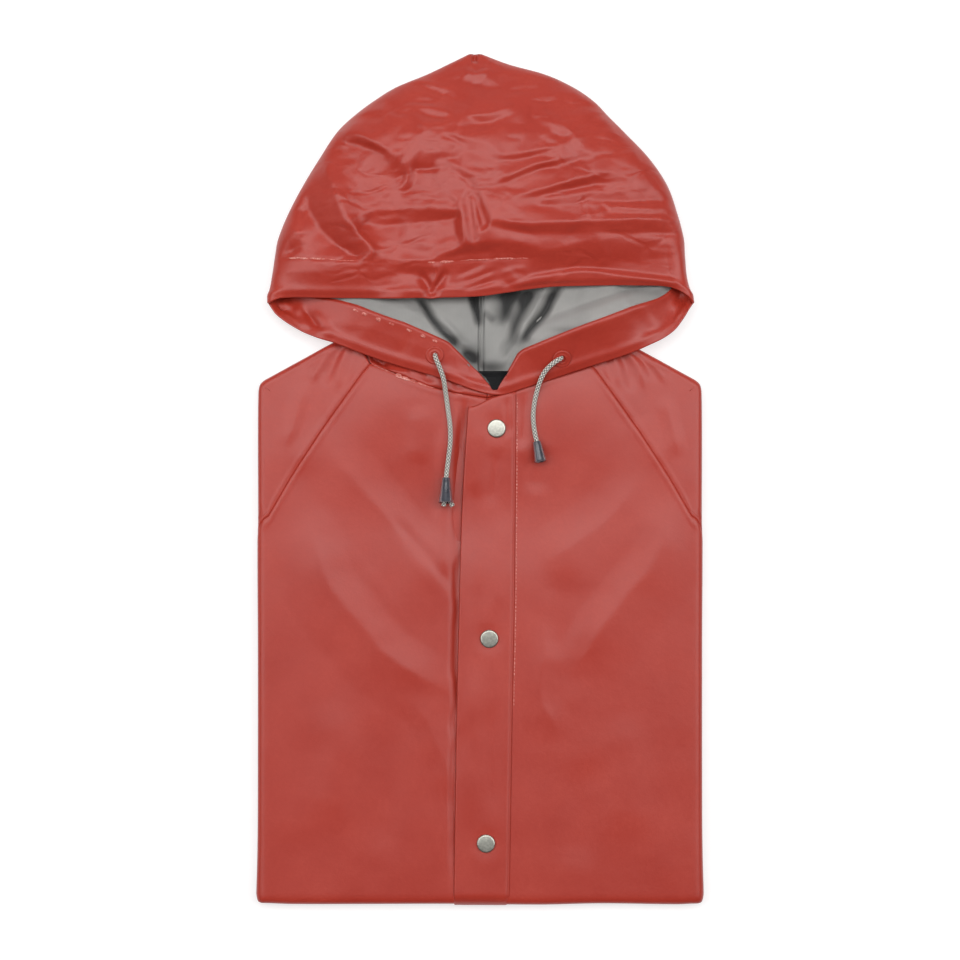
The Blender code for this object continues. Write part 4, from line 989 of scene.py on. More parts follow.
def height_on(surface, x, y):
    """Height of a surface at one place; a ray that slips through an edge is sent again beside it."""
    for nudge in (0.0, 0.6):
        hit = surface.ray_cast(Vector((x * MM, (y + nudge) * MM, 0.2)), Vector((0, 0, -1)))[0]
        if hit:
            return hit.z / MM


# Section of a bead by share of its half width and of its height, its base sunk in the cloth.
BEAD_SECTION = ((-1, 0), (-0.6, 0.64), (0, 1), (0.6, 0.64), (1, 0), (0.8, -0.8), (-0.8, -0.8))


def lay_beads(name, surface, routes, widths, height, material):
    """Low beads along routes on a surface, in one mesh: uneven in width and tapered at their ends."""
    places, faces = [], []
    for route, width in zip(routes, widths):
        line = smooth_route(route, 0.5)
        along = np.linspace(0, 1, len(line))
        ahead = np.gradient(line, axis=0)
        aside = np.stack([-ahead[:, 1], ahead[:, 0]], axis=1) / np.linalg.norm(ahead, axis=1)[:, None]
        swell = 0.75 + 0.35 * uneven(line[:, 0], line[:, 1], 3.0, 71)
        swell = np.maximum(swell * ease(along / 0.15) * ease((1 - along) / 0.15), 0.12)
        start, sides = len(places), len(BEAD_SECTION)
        for place, way, size in zip(line, aside, swell):
            for across, rise in BEAD_SECTION:
                x, y = place + way * (across * width * size / 2)
                places.append((x, y, height_on(surface, x, y) + rise * height * size))
        rings = grid_faces(len(line), sides, closed=True)
        faces += [tuple(start + corner for corner in face) for face in rings]
        faces.append(tuple(range(start + sides - 1, start - 1, -1)))
        faces.append(tuple(range(len(places) - sides, len(places))))
    return link_mesh(name, places, faces, [material])


def whitened_pvc():
    """The same film where a weld has melted it, paler pink and glossier. Its paleness also stands for the
    glints along welds and stitches: painted highlight.
    """
    material, tree, shader, place = start_material("whitened_pvc", Roughness=0.25, IOR=1.5)
    patchy = add_node(tree, "TexNoise", {"Vector": place, "Scale": grains(1.11), "Detail": 3.0})
    colour = add_node(tree, "ValToRGB", {"Fac": patchy.outputs["Fac"]},
                      ((0.35, "#b94539"), (0.68, "#d99489")))
    tree.links.new(colour.outputs["Color"], shader.inputs["Base Color"])
    return material


weld_white_and_glint = whitened_pvc()
coat = surface_of(*(bpy.data.objects[name] for name in (
    "front_right_panel", "front_left_panel", "sleeve_right_shoulder", "sleeve_left_shoulder",
    "placket_strip", "neck_band_right_strip", "neck_band_left_strip")))

# The weld of the neck seam where it shows pale, gone white and, as painted highlight, catching the light:
# places and width of each stretch.
NECK_WELD = (
    (((-76, 80.3), (-66, 76.2), (-58, 73.0)), 1.0), (((-60, 73.4), (-52.5, 70.4), (-44, 67.6)), 3.4),
    (((-45, 68.0), (-38, 65.4), (-32, 63.6)), 1.6), (((-27, 62.0), (-20, 60.4)), 1.2),
    (((-17, 59.6), (-12, 58.6)), 1.0), (((30, 63.8), (38, 66.6), (45, 69.0)), 1.0),
    (((50, 70.6), (58, 73.2), (66, 76.0)), 0.8),
)
NECK_WELD_HEIGHT = 0.14
put_on(lay_beads("neck_weld", coat, *zip(*NECK_WELD), NECK_WELD_HEIGHT, weld_white_and_glint))

# Stitches that hold the placket down along its seam, tight, and drawn pale in its upper half: stressed white,
# with painted highlight for the glints they catch.
STITCH_STEP = 2.6
STITCH_LENGTH = 2.3
STITCH_WIDTH = 0.9
STITCH_OUT = 0.9
STITCH_HEIGHT = 0.2
STITCHED_FROM = 57.0
STITCHED_TO = -158.0
stitches = [[(float(read(PLACKET_SEAM, end)) + STITCH_OUT, end) for end in (y, y - STITCH_LENGTH)]
            for y in np.arange(STITCHED_FROM, STITCHED_TO, -STITCH_STEP)]
stitching = lay_beads("placket_stitches", coat, stitches, [STITCH_WIDTH] * len(stitches), STITCH_HEIGHT,
                      weld_white_and_glint)
put_on(stitching)


# ---- Hood ---------------------------------------------------------------------------------
# Two halves of coated fabric closed by a welded seam over the head, now lying open like a
# pouch. Its rim is turned in all round as a 25 mm casing for the cord, so the red face of the
# casing lines the mouth, and the grey knit of the cloth shows deeper inside.

BRIM_Y = 124.0
CROWN_Y = 298.4
LIP_REACH = 0.085
LIP_LIFT = 3.5
CORNER_LIP = 7.5
CASING_DEPTH = 1.5
CORD_BULGE = 1.9
CORD_IN = 4.4
DOME_FULLNESS = 0.7

# Rings of the hood, by place up the coat: outline, rise of the dome and height of its side edges.
HOOD_RINGS = (
    (124, -148.9, 149.8, 16.0, 13.0), (140, -146.2, 145.4, 25.0, 7.5), (157, -143.8, 143.9, 31.6, 4.6),
    (168, -141.8, 143.2, 33.6, 4.0), (186, -134.6, 138.6, 33.0, 4.0), (206, -124.1, 131.4, 31.2, 4.0),
    (225, -112.5, 118.6, 29.4, 4.0), (243, -100.6, 101.5, 27.0, 3.8), (254, -89.4, 90.6, 24.2, 3.5),
    (265, -75.0, 80.0, 20.0, 3.2), (275, -59.0, 65.5, 15.6, 3.0), (284, -37.5, 46.0, 11.0, 2.8),
    (291, -23.0, 21.0, 6.8, 2.6), (298.4, -8.0, 1.5, 3.0, 2.4),
)
LEFT, RIGHT, DOME, EDGE = 1, 2, 3, 4

# How far the lower rim drops below the side corners, and how far the brim arches up from them.
RIM_DROP = (
    (-149, 0.0), (-142, 9.5), (-121, 22.0), (-101, 28.3), (-69, 40.0), (-27, 52.6), (9.8, 64.4),
    (32, 59.0), (67, 47.2), (96, 38.0), (115, 31.0), (136, 19.5), (150, 0.0),
)
BRIM_ARCH = (
    (-149, 0.0), (-138, 3.4), (-103, 3.0), (-64, 2.7), (-35, 3.0), (1, 4.2), (17, 6.4),
    (40, 9.8), (57, 11.3), (117, 11.8), (136, 9.8), (147, 3.6), (150, 0.0),
)

# Width of the casing's inner face that shows, by place across the mouth.
HEM_WIDTH = (
    (-149, 24.0), (-87, 30.0), (-54, 29.5), (-22, 25.5), (-13, 20.0), (0, 12.0), (9.8, 1.8),
    (17, 9.0), (24, 17.0), (29, 23.6), (33, 25.2), (73, 27.0), (110, 28.5), (150, 24.0),
)

# Folded facets of the dome: the lines where they meet, each by its places and how far it stands
# off the smooth dome there. The cloth is nearly flat from one line to the next.
HOOD_FOLDS = (
    ((-97, 243, 0.8), (-86, 239.5, 3.2), (-74, 233.5, 4.0), (-63, 227, 3.6), (-57.5, 223, 2.8)),
    ((-96, 247, 0.2), (-86, 243.5, 3.0), (-74, 237.5, 3.8), (-64, 231, 3.5)),
    ((-93, 251, -0.6), (-80, 254, -0.8), (-69, 253, -0.2)),
    ((-60, 229, 3.3), (-61, 236, 3.1), (-63.5, 245, 2.3), (-67, 252, 1)),
    ((-54, 226, 2.3), (-49, 233, 2.1), (-45.5, 240, 2), (-47, 251, 0.3), (-54, 260, -1)),
    ((-48, 264, -1.6), (-38, 263, -3), (-25, 263, -3), (-12, 262, -2.6)),
    ((-42, 241, 1.8), (-34, 241, 1.6), (-22, 239, 1.5), (-8, 236, 1), (4, 234, 0.7)),
    ((-44, 229, 1), (-34, 227, 0.7), (-26, 226.5, 0.5), (-18, 226.5, 0.3), (-6, 227, 0.3)),
    ((-34, 222.5, -1), (-26, 222.5, -1.3), (-17, 222.5, -0.8)),
    ((-99, 236, -0.6), (-88, 233, -1.4), (-76, 230.5, -1.2), (-67, 226.8, 0.4)),
    ((-104, 229.5, 0), (-92, 229, -1.4), (-78, 227, -1.6), (-67, 223.8, -0.4)),
    ((-105, 224.5, 0), (-92, 222, -2.0), (-78, 219.5, -2.2), (-66, 218.8, -1.4), (-57, 219.2, 0.2),
     (-50, 218.5, 0.6)),
    ((-97, 212, 0.4), (-91, 209, -1.0), (-84, 206, -2.6), (-74, 206.5, -4.0), (-62, 209, -4.8),
     (-55, 210, -4.6)),
    ((-49.3, 214, -1.0), (-50.5, 207.5, -2.6), (-54, 203, -3.4), (-59, 199.5, -4.2)),
    ((-44.5, 214.5, -3.6), (-45.5, 207, -5.2), (-49, 201.5, -5.6), (-53, 198.3, -5.6)),
    ((-37, 214, -3.2), (-37, 206, -3.8), (-37, 199, -4.0)),
    ((-24, 213, -1.4), (-23, 206, -1.7), (-23, 198, -2.1)),
    ((-58, 196.5, -4.4), (-47, 195.4, -4.4), (-38, 194.8, -4.0), (-27, 193.6, -3.0), (-19, 192, -2.0)),
    ((-60, 191, -5.0), (-47, 190, -3.6), (-38, 190, -3.2), (-27, 189.5, -2.2), (-17, 189, -1.2)),
    ((-87, 180.5, 0.6), (-82, 184, -2.6), (-72, 186.5, -4.6), (-60, 187, -4.9), (-40, 187.2, -3.4),
     (-25, 187, -2.2), (-15, 186.5, -1.0)),
    ((-87, 178.4, 0.2), (-80, 177.2, -5.6), (-72, 177.2, -9.2), (-58, 177.5, -9.4), (-40, 178.5, -8.4),
     (-25, 180, -7.4), (-16, 181.5, -5.2)),
    ((-84, 171.5, -1.0), (-70, 167, -6.4), (-50, 166, -7.2), (-30, 167, -6.6), (-17, 169, -5.4)),
    ((-72, 157.5, -1.4), (-60, 157, -4.6), (-45, 155.5, -5.6), (-34, 155, -5.0)),
    ((-110, 227, 0.7), (-107, 217, 2.6), (-102, 205, 4.0), (-98, 193, 4.2), (-94, 183, 3.6),
     (-90, 177.5, 2.8), (-81, 167, 1.6), (-74.5, 158.5, 0.4)),
    ((-124, 206, -1.6), (-121, 194, -4.0), (-117, 182, -6.0), (-108, 170, -6.8), (-97, 161, -6.2),
     (-86, 155, -4.6)),
    ((-140, 174, 0.7), (-131, 173, 1.0), (-125, 171.5, 0.2)),
    ((-139, 168.7, 0.5), (-131, 168.2, 0.2), (-125, 167.4, -0.6)),
    ((-139, 158, -2.6), (-134, 157, -3.1), (-129, 160, -3), (-125, 163.5, -1.6)),
    ((-133, 153.5, -0.8), (-126, 158.5, -0.8), (-121, 162.5, -1.6)),
    ((-114, 158, -2.2), (-105, 156, -2.8), (-95, 155, -3.0)),
    ((-138, 151, -0.7), (-120, 151, 0), (-100, 150.5, -0.8), (-84, 150.5, -1.8)),
    ((-139, 145, 0), (-110, 144, 0), (-85, 144, -1.5), (-66, 145, -2.8)),
    ((-66, 151, -2.8), (-50, 150.6, -3.6), (-34, 150.6, -3.6)),
    ((-60, 143.5, -4.3), (-50, 143.5, -5.6), (-38, 143.5, -5.6)),
    ((-57, 140.5, -3.8), (-50, 135.5, -2.6), (-44, 132, -2)),
    ((-140, 133, -2.2), (-110, 133, -2.8), (-80, 133, -3.2), (-60, 133, -3.4)),
    ((-148, 126, -1), (-138, 126.5, -4.0), (-110, 126.5, -4.6), (-80, 126.5, -4.2), (-60, 127, -0.8),
     (-34, 127, -2), (-15, 127.5, -2.6), (5, 128, -2.5), (16, 130, -3.2)),
    ((12, 206, 0.3), (22, 210.5, 0.8), (32, 215, 1), (44, 219, 1), (56, 222, 0.8), (70, 225.5, 0.2)),
    ((12, 203, -0.3), (22, 207.3, -1.5), (32, 211.8, -2), (44, 216, -2), (56, 219, -1.5), (70, 222.5, -0.2)),
    ((12, 223.4, 0.3), (25, 224.4, 0.7), (38, 227.4, 0.7), (50, 231, 0.7)),
    ((12, 221, -0.3), (25, 221.8, -0.8), (38, 224.6, -1), (50, 228.4, -0.5)),
    ((56, 231.2, 1), (70, 228.8, 1.3), (90, 223.5, 1.3), (112, 214.5, 0.5)),
    ((61, 249, 0.6), (51, 243.5, 0.9), (42, 237.5, 0.8), (30, 232, 0.4)),
    ((50, 256, -0.8), (66, 260, -0.8), (81, 259.5, -0.4)),
    ((24, 195.8, 0.3), (40, 199.8, 1), (56, 204.6, 1.5), (72, 209, 1.6), (86, 212, 1.3), (100, 212.5, 0.5)),
    ((24, 193.2, -0.3), (40, 196.2, -1.5), (56, 199.8, -2.6), (72, 203.4, -3.1), (86, 205.6, -2.6),
     (104, 206.5, -1.2)),
    ((45, 193.6, -1.2), (60, 196.6, -1.6), (74, 199, -1.8)),
    ((28, 188.5, -0.8), (45, 189.8, -2.5), (66, 190.6, -2.8)),
    ((80, 200, -1.5), (95, 200.8, -1.2), (115, 202, -0.7), (130, 201, 0)),
    ((76, 193.4, -3), (95, 192.5, -3.8), (115, 193.5, -3.3), (132, 194, -1)),
    ((90, 188.8, -1.3), (110, 188.4, -1), (133, 188, 0.5)),
    ((90, 184.5, -1.8), (110, 184, -2.2), (135, 184, 0)),
    ((8, 180.6, 1.8), (14, 179.2, 1.8), (22, 177.8, 1.3), (33, 176.6, 0.9), (45, 177.4, 0.7), (60, 178, 0.7),
     (80, 179.3, 0.4), (100, 181, 0.2), (120, 181.5, 0.3), (137, 180, 1.1)),
    ((7, 175.6, 0.2), (14, 174, -1.1), (22, 172.5, -2.2), (33, 171, -3.1), (45, 170.8, -3.5),
     (60, 170.5, -3.7), (80, 170.6, -4.1), (100, 171.4, -4.7), (120, 171.8, -4.6), (139, 171.5, -1.9)),
    ((14, 167.5, -1.1), (26, 164.5, -2.1), (37, 161, -2.2), (50, 160, -2.5), (62, 162.5, -3.2),
     (75, 166, -3.7), (90, 168, -4.1), (110, 168.8, -4.2), (138, 168.5, -1.7)),
    ((36, 151.5, -4.6), (55, 150.5, -6.4), (80, 151, -7.6), (110, 151, -7.9), (137, 151, -3.4)),
    ((30, 141.5, -4.8), (45, 144.5, -6.6), (60, 147, -7.8), (75, 147.4, -8.5), (100, 145.4, -8.6),
     (125, 142, -7.0), (138, 139.4, -4.1)),
    ((26, 137.8, -3.2), (40, 140.5, -4.3), (55, 142.2, -5.1), (70, 144.4, -5.9), (85, 143.8, -6.1),
     (100, 141.8, -5.9), (120, 138.8, -5.3), (134, 136.4, -3.7)),
    ((24, 132, -4.7), (40, 134.5, -6.7), (57, 136, -8.1), (87, 136, -8.8), (117, 136, -8.1),
     (137, 133.8, -5.6), (149, 124, -0.6)),
    ((-28, 155.5, -3.3), (-14, 160, -2), (-2, 163.4, -1.3), (10, 164.8, -1.2), (22, 162.6, -2.5),
     (33, 159.6, -3.2)),
    ((-22, 154, -4.6), (-12, 156, -5.3), (0, 157.5, -5.6), (14, 157.5, -4.5), (28, 155.5, -4.8)),
    ((-26, 145, -4.9), (-10, 147, -4.9), (5, 147, -4), (18, 147.5, -4.6)),
    ((-28, 136, -4), (-12, 136.5, -4.3), (5, 137.5, -3.4), (16, 139, -3.9)),
    ((-45, 283, 0), (-30, 284, -0.3), (-16, 285, -0.3), (12, 284.5, -0.3), (28, 284, 0), (44, 281, 0)),
    ((-40, 272, -1.5), (-26, 272.5, -3.1), (-12, 273, -2.8), (6, 273.5, -2.8), (20, 273, -3.1), (32, 275, -2),
     (44, 279, -0.3)),
    ((-8, 258.5, -0.7), (4, 260.5, -0.8), (16, 263.5, -0.8), (28, 268, -0.8), (38, 272.6, -0.7),
     (46, 277, 0)),
    ((-4, 246, -1.6), (12, 247, -1.8), (28, 251, -1.6), (44, 258, -1.8), (54, 266, -1.0)),
    ((-14, 192, 0.6), (-12, 178, 0.8), (-10, 165, 0)),
    ((-8.5, 194, -1.4), (-6.5, 180, -2.6), (-4, 165, -2.4)),
    ((-4.2, 192, 0.6), (-2.6, 180, 0.4), (-0.5, 168, -1.0)),
    ((-1.6, 193, -1.4), (0.4, 184, -3.0), (3, 176.5, -3.4)),
    ((-3, 208, 0.8), (1.5, 197, 1.4), (4.5, 187, 1.4), (7, 181.5, 0.8)),
    ((-20, 219, 0.4), (-10, 214, 0.8), (-4, 209.5, 0.9)),
    ((-21, 215, -1.0), (-13, 209.5, -1.6), (-6, 203, -1.4)),
    ((-17, 211.5, -0.4), (-11, 206.5, -0.4), (-7, 200, -0.2)),
)

# Small wrinkles and puckers between them.
HOOD_CREASES = (
    Crease(1.0, 3, 3, 1, ((-58, 283), (-40, 277.5), (-20, 270))),
    Crease(-1.0, 2.5, 3.5, 1, ((-52, 279), (-36, 273), (-18, 265.5))),
    Crease(1.1, 3, 4, 1, ((-64, 262.5), (-40, 260), (-17, 256))),
    Crease(-0.9, 2.5, 3, 1, ((-60, 256.5), (-40, 254), (-20, 249))),
    Crease(1.0, 3, 3, 1, ((-90, 255), (-75, 257), (-60, 256))),
    Crease(-0.8, 3, 3, 1, ((-56, 258), (-46, 248), (-38, 238))),
    Crease(0.8, 3, 3, 1, ((-50, 258), (-41, 248), (-34, 240))),
    Crease(1.0, 3, 4, 1, ((14, 271), (30, 274.5), (46, 276.5))),
    Crease(-0.9, 3, 3, 1, ((10, 266), (28, 270), (48, 273))),
    Crease(0.8, 3, 3, 1, ((36, 259), (54, 248), (72, 236))),
    Crease(-0.7, 3, 3, 1, ((30, 254), (48, 243), (64, 233))),
    Crease(0.7, 3, 4, 1, ((16, 225), (52, 231), (88, 245))),
    Crease(0.9, 3, 3, 1, ((42, 266), (62, 267), (86, 262))),
    Crease(0.9, 3, 4, 1, ((-12, 252), (8, 255), (26, 262))),
    Crease(-0.9, 3, 4, 1, ((-14, 246), (8, 249), (30, 256))),
    Crease(-0.9, 2.0, 2.5, 1, ((-58, 261.5), (-44, 262.5), (-29, 262))),
    Crease(-0.6, 1.8, 1.8, 1, ((-64, 257), (-58, 254.5), (-53, 252))),
    Crease(-0.7, 1.8, 1.8, 1, ((-30, 270), (-21, 267), (-14, 262))),
    Crease(0.6, 1.8, 2.0, 1, ((-44, 259), (-30, 257), (-17, 254))),
    Crease(-0.5, 1.6, 1.6, 1, ((-40, 254), (-28, 252), (-16, 251))),
    Crease(-0.7, 1.8, 2.0, 1, ((-29, 240.5), (-18, 236), (-7, 230.5))),
    Crease(-1.1, 2.6, 1.8, 1, ((-49, 217), (-38, 215.3), (-27, 216))),
    Crease(-3.0, 2.2, 3.0, 1, ((-43, 145), (-37, 136), (-33, 125))),
    Crease(-2.6, 3.0, 2.0, 1, ((-22, 146), (-28, 138), (-34, 126))),
    Crease(1.6, 2.6, 3.0, 1, ((-32, 151), (-30, 142), (-33, 133))),
    Crease(-0.8, 1.4, 1.6, 1, ((-14, 136), (0, 141), (13, 147.5))),
    Crease(-0.7, 1.4, 1.6, 1, ((-15, 131), (2, 135.5), (14, 141))),
    Crease(0.6, 1.4, 1.4, 1, ((-17, 134), (-2, 138.5), (10, 144))),
    Crease(-0.7, 1.6, 1.6, 1, ((12, 133), (24, 137), (37, 141.5))),
    Crease(-0.7, 2.0, 1.8, 1, ((-19, 140), (-8, 145), (5, 150.5))),
    Crease(0.6, 2.0, 2.0, 1, ((12, 141), (22, 145), (34, 147))),
    Crease(-0.6, 1.4, 1.8, 1, ((50, 268), (63, 267), (77, 265.5))),
    Crease(-0.5, 1.4, 1.6, 1, ((44, 233), (50, 233.2), (56, 233))),
    Crease(-0.5, 1.4, 1.6, 1, ((78, 236.5), (90, 235.5), (98, 233))),
    Crease(-0.5, 1.6, 1.8, 1, ((16, 181), (24, 181.2), (32, 180.4))),
    Crease(0.3, 1.6, 1.2, 1, ((72.5, 199), (74, 190), (76.5, 179))),
    Crease(-0.4, 3.0, 1.2, 1, ((70.5, 198), (72, 190), (74, 181))),
    Crease(0.9, 1.8, 2.4, 1, ((-13, 292), (-9, 285), (-2, 283), (5, 286), (8, 292))),
    Crease(-0.9, 4.0, 6.0, 1, ((-13, 280), (-4, 276), (6, 280))),
    Crease(-3.2, 1.5, 1.5, 2, ((-4, 302), (-4, 297), (-4, 291))),
    Crease(-0.6, 1.2, 1.2, 1, ((-9, 291), (-5, 288), (-3, 285))),
    Crease(0.6, 2.0, 2.0, 1, ((18, 288), (9, 292), (0, 297))),
    Crease(0.6, 2.0, 2.0, 1, ((-26, 288), (-15, 292), (-7, 297))),
)


def fold_heights(folds, x, y):
    """How far folded facets stand off a smooth surface: flat between the lines where they meet."""
    rows = [smooth_route(line, 2.5) for line in folds]
    level = [(edge, ring[0], 0.0) for ring in HOOD_RINGS for edge in (ring[LEFT] - 5, ring[RIGHT] + 5)]
    corners = np.vstack(rows + [level, [(-160, 110, 0.0), (160, 110, 0.0), (0, 310, 0.0)]])
    net = delaunay_2d_cdt([Vector(corner[:2]) for corner in corners], [], [], 0, 0.02)
    places = [(*place, corners[origin[0]][2]) for place, origin in zip(net[0], net[3])]
    surface = BVHTree.FromPolygons(places, net[2])
    down = Vector((0, 0, -1))
    hits = [surface.ray_cast(Vector((px, py, 50)), down)[0] for px, py in zip(x.ravel(), y.ravel())]
    heights = np.array([hit.z if hit else 0.0 for hit in hits]).reshape(x.shape)
    for axis in (0, 1):
        padded = np.concatenate([heights.take([0], axis), heights, heights.take([-1], axis)], axis)
        count = heights.shape[axis]
        before, after = padded.take(range(count), axis), padded.take(range(2, count + 2), axis)
        heights = 0.25 * before + 0.5 * heights + 0.25 * after
    return heights


def hood_rest(x, y):
    """Underside of the hood's lower layer: over the neck of the pile, then down on the floor."""
    shoulder = SHOULDER_NECK[1] - np.clip(np.abs(x) - SHOULDER_NECK[0], 0, None) * 0.552
    return ease((shoulder + 60 - y) / 60) * (pile_height(y) + 0.45)


# How far the casing's raw edge is lifted off the flat, by place across the mouth, and how soon
# the cloth beyond it is back down, as a share of the way to the crown.
STRIP_TILT = ((-149, 0.0), (-125, 7.0), (-95, 12.0), (-60, 12.5), (-25, 8.5), (9.8, 0.0), (22, 6.5),
              (42, 15.0), (60, 17.5), (110, 18.5), (136, 9.0), (150, 0.0))
TILT_FALL = 0.045
MOUTH_START = -149.0
MOUTH_WIDTH = 299.0


def ring_height(share):
    """Place up the coat of the hood's side edges, by share of the way to the crown."""
    return BRIM_Y + (CROWN_Y - BRIM_Y) * np.sin(0.5 * math.pi * share)


def lower_point(share, across):
    """Places on the hood's lower layer: share of the way to the crown, and share across."""
    share, across = np.broadcast_arrays(share, across)
    side_y = ring_height(share)
    left, right = read(HOOD_RINGS, side_y, LEFT), read(HOOD_RINGS, side_y, RIGHT)
    edge = read(HOOD_RINGS, side_y, EDGE)
    mouth_x = MOUTH_START + MOUTH_WIDTH * across
    x = left + (right - left) * across
    y = side_y - read(RIM_DROP, mouth_x) * (1 - share) ** 2
    fade = np.clip(1 - share / LIP_REACH, 0, None) ** 2
    z = hood_rest(x, y) + (LIP_LIFT + CORNER_LIP * np.abs(2 * across - 1) ** 3) * fade
    hem = hem_share(across)
    tilted = np.minimum(share / hem, np.clip(1 - (share - hem) / TILT_FALL, 0, 1))
    z = z + read(STRIP_TILT, mouth_x) * tilted
    inset = np.minimum(x - left, right - x)
    curl = edge - np.sqrt(np.clip(edge**2 - np.clip(edge - inset, 0, None) ** 2, 0, None))
    return np.stack([x, y, np.where(inset < edge, np.maximum(z, curl), z)], axis=-1)


def upper_point(share, turn):
    """Places on the dome: share of the way to the crown, and turn from 0 at one side edge to pi."""
    share, turn = np.broadcast_arrays(share, turn)
    side_y = ring_height(share)
    left, right = read(HOOD_RINGS, side_y, LEFT), read(HOOD_RINGS, side_y, RIGHT)
    across = (1 - np.cos(turn)) / 2
    x = left + (right - left) * across
    y = side_y + read(BRIM_ARCH, MOUTH_START + MOUTH_WIDTH * across) * (1 - share) ** 3
    rise = np.sin(turn).clip(0, 1)
    z = read(HOOD_RINGS, side_y, EDGE) + read(HOOD_RINGS, side_y, DOME) * rise**DOME_FULLNESS
    return np.stack([x, y, z], axis=-1)


def face_ways(grid):
    """Unit normals of a grid of places, rows by columns."""
    ways = np.cross(np.gradient(grid, axis=1), np.gradient(grid, axis=0))
    return ways / np.linalg.norm(ways, axis=-1, keepdims=True).clip(1e-9)


def even_turns(count):
    """Turns across the dome whose places are evenly spaced along its middle ring."""
    fine = np.linspace(0, math.pi, 3000)
    ring = upper_point(np.full(3000, 0.3), fine)
    walked = np.concatenate([[0], np.cumsum(np.linalg.norm(np.diff(ring, axis=0), axis=1))])
    return np.interp(np.linspace(0, walked[-1], count), walked, fine)


def waves(spacing):
    """Scale of a wave pattern whose bands are this many millimetres apart."""
    return math.pi / (10 * spacing * MM)


def grey_knit():
    """Polyester knit that carries the film, matte, with fine wales about 1 mm apart as drawn. Its colour
    takes painted shade, down to grey black, where the hollow mark says it lies deep in a fold or in shadow."""
    material, tree, shader, place = start_material("grey_knit", Roughness=0.85, IOR=1.5, Sheen_Weight=0.15)
    cloud = add_node(tree, "TexNoise", {"Vector": place, "Scale": grains(33.3), "Detail": 4.0})
    loops = add_node(tree, "TexWave",
                     {"Vector": place, "Scale": waves(0.98), "Distortion": 1.5, "Detail": 2.0})
    mixed = add_node(tree, "Mix", {0: 0.07, 2: cloud.outputs["Fac"], 3: loops.outputs["Fac"]})
    colour = add_node(tree, "ValToRGB", {"Fac": mixed.outputs[0]}, ((0.3, "#8c8b88"), (0.7, "#9e9c99")))
    # Painted shade: the hollow mark mixes the knit's colour towards grey black.
    deep = add_node(tree, "Attribute", attribute_name="hollow")
    shaded = add_node(tree, "Mix", {0: deep.outputs["Fac"], 6: colour.outputs["Color"],
                                    7: to_linear("#232323")}, data_type="RGBA")
    tree.links.new(shaded.outputs[2], shader.inputs["Base Color"])
    bump = add_node(tree, "Bump", {"Height": loops.outputs["Fac"], "Strength": 0.06, "Distance": 0.0003})
    tree.links.new(bump.outputs["Normal"], shader.inputs["Normal"])
    return material


def rim_rows(outer, outward, distance, raw_edge, bulge):
    """Rows of a turned-in rim: the casing's inner face from its raw edge, the fold, the outer face.
    outer holds the outer face by rows from the rim, distance how far each place is from it; the
    cord in the casing swells it near the fold. raw_edge is the number of rows of the inner face."""
    ways = face_ways(outer)
    if (ways * outward).sum() < 0:
        ways = -ways
    tube = np.exp(-(((distance - CORD_IN) / 2.8) ** 2))[..., None]
    face = outer + ways * (bulge * 0.45 * tube)
    inner = outer - ways * (CASING_DEPTH + bulge * tube)
    away = outer[0] - outer[1]
    away /= np.linalg.norm(away, axis=-1, keepdims=True)
    middle = (face[0] + inner[0]) / 2
    half_depth = np.linalg.norm(face[0] - inner[0], axis=-1, keepdims=True) / 2
    fold = [middle - ways[0] * half_depth * math.cos(turn) + away * half_depth * 1.3 * math.sin(turn)
            for turn in np.radians(np.linspace(18, 162, 9))]
    return np.concatenate([inner[:raw_edge][::-1], np.stack(fold), face])


knit = grey_knit()
DOME_COLUMNS = 262
DOME_ROWS = 150
CASING_REACH = 26.5
BRIM_SEAM = ((-141, 154.6), (-116.3, 153.5), (-78, 151.1), (-32.8, 150.6), (1.4, 152.5), (36.7, 153.5),
             (70, 154))
BRIM_SEAM_DEPTH = 0.35


def crumpled(x, y):
    """Fine unevenness of crushed film: soft waves, and sharp hollows that run in three ways."""
    return (0.15 * uneven(x, y, 24.0, 41) + 0.05 * uneven(x, y, 8.0, 42)
            + 0.9 * np.abs(uneven(0.5 * x, y, 15.0, 43))
            - 0.7 * np.abs(uneven(0.7 * x + 0.6 * y, y - 0.5 * x, 17.0, 44))
            + 0.45 * np.abs(uneven(x - 0.3 * y, 1.6 * y, 11.0, 45)))


def dome_grid():
    """Grid of the dome with its facets and wrinkles, from the casing's raw edge, round the brim, to
    the crown. The folds fade out towards the side edges."""
    turns = even_turns(DOME_COLUMNS)
    heights = np.concatenate([np.linspace(BRIM_Y, 290.0, DOME_ROWS - 8), np.linspace(291.2, CROWN_Y, 8)])
    shares = np.arcsin(np.clip((heights - BRIM_Y) / (CROWN_Y - BRIM_Y), 0, 1))[:, None] * 2 / math.pi
    dome = upper_point(shares, turns[None, :])
    x, y = dome[..., 0].copy(), dome[..., 1].copy()
    steady = np.minimum(1.0, 2.4 * np.sin(turns)[None, :]) ** 2
    folds = fold_heights(HOOD_FOLDS, x, y) + crease_heights(HOOD_CREASES, x, y, shape_noise=0.5, crest=0.4)
    dome[..., 2] += (folds + crumpled(x, y) * ease((shares - 0.02) / 0.1)) * steady
    walked = np.cumsum(np.linalg.norm(np.diff(dome, axis=0), axis=2).mean(axis=1))
    distance = np.concatenate([[0], walked])
    off_seam = y - read(BRIM_SEAM, x)
    dome[..., 2] -= BRIM_SEAM_DEPTH * np.exp(-((off_seam / 0.9) ** 2)) * ease((62 - x) / 40) * steady
    inner_rows = int((distance < CASING_REACH).sum())
    distance = np.broadcast_to(distance[:, None], dome.shape[:2])
    return rim_rows(dome, np.array((0, 0, 1.0)), distance, inner_rows, CORD_BULGE)


creased_pvc = pvc_coated("pvc_coated_creased", creased=0.4)
hood = cloth("hood_dome", dome_grid(), [creased_pvc, knit], faces_up=True)
put_on(hood, "hood_shell")
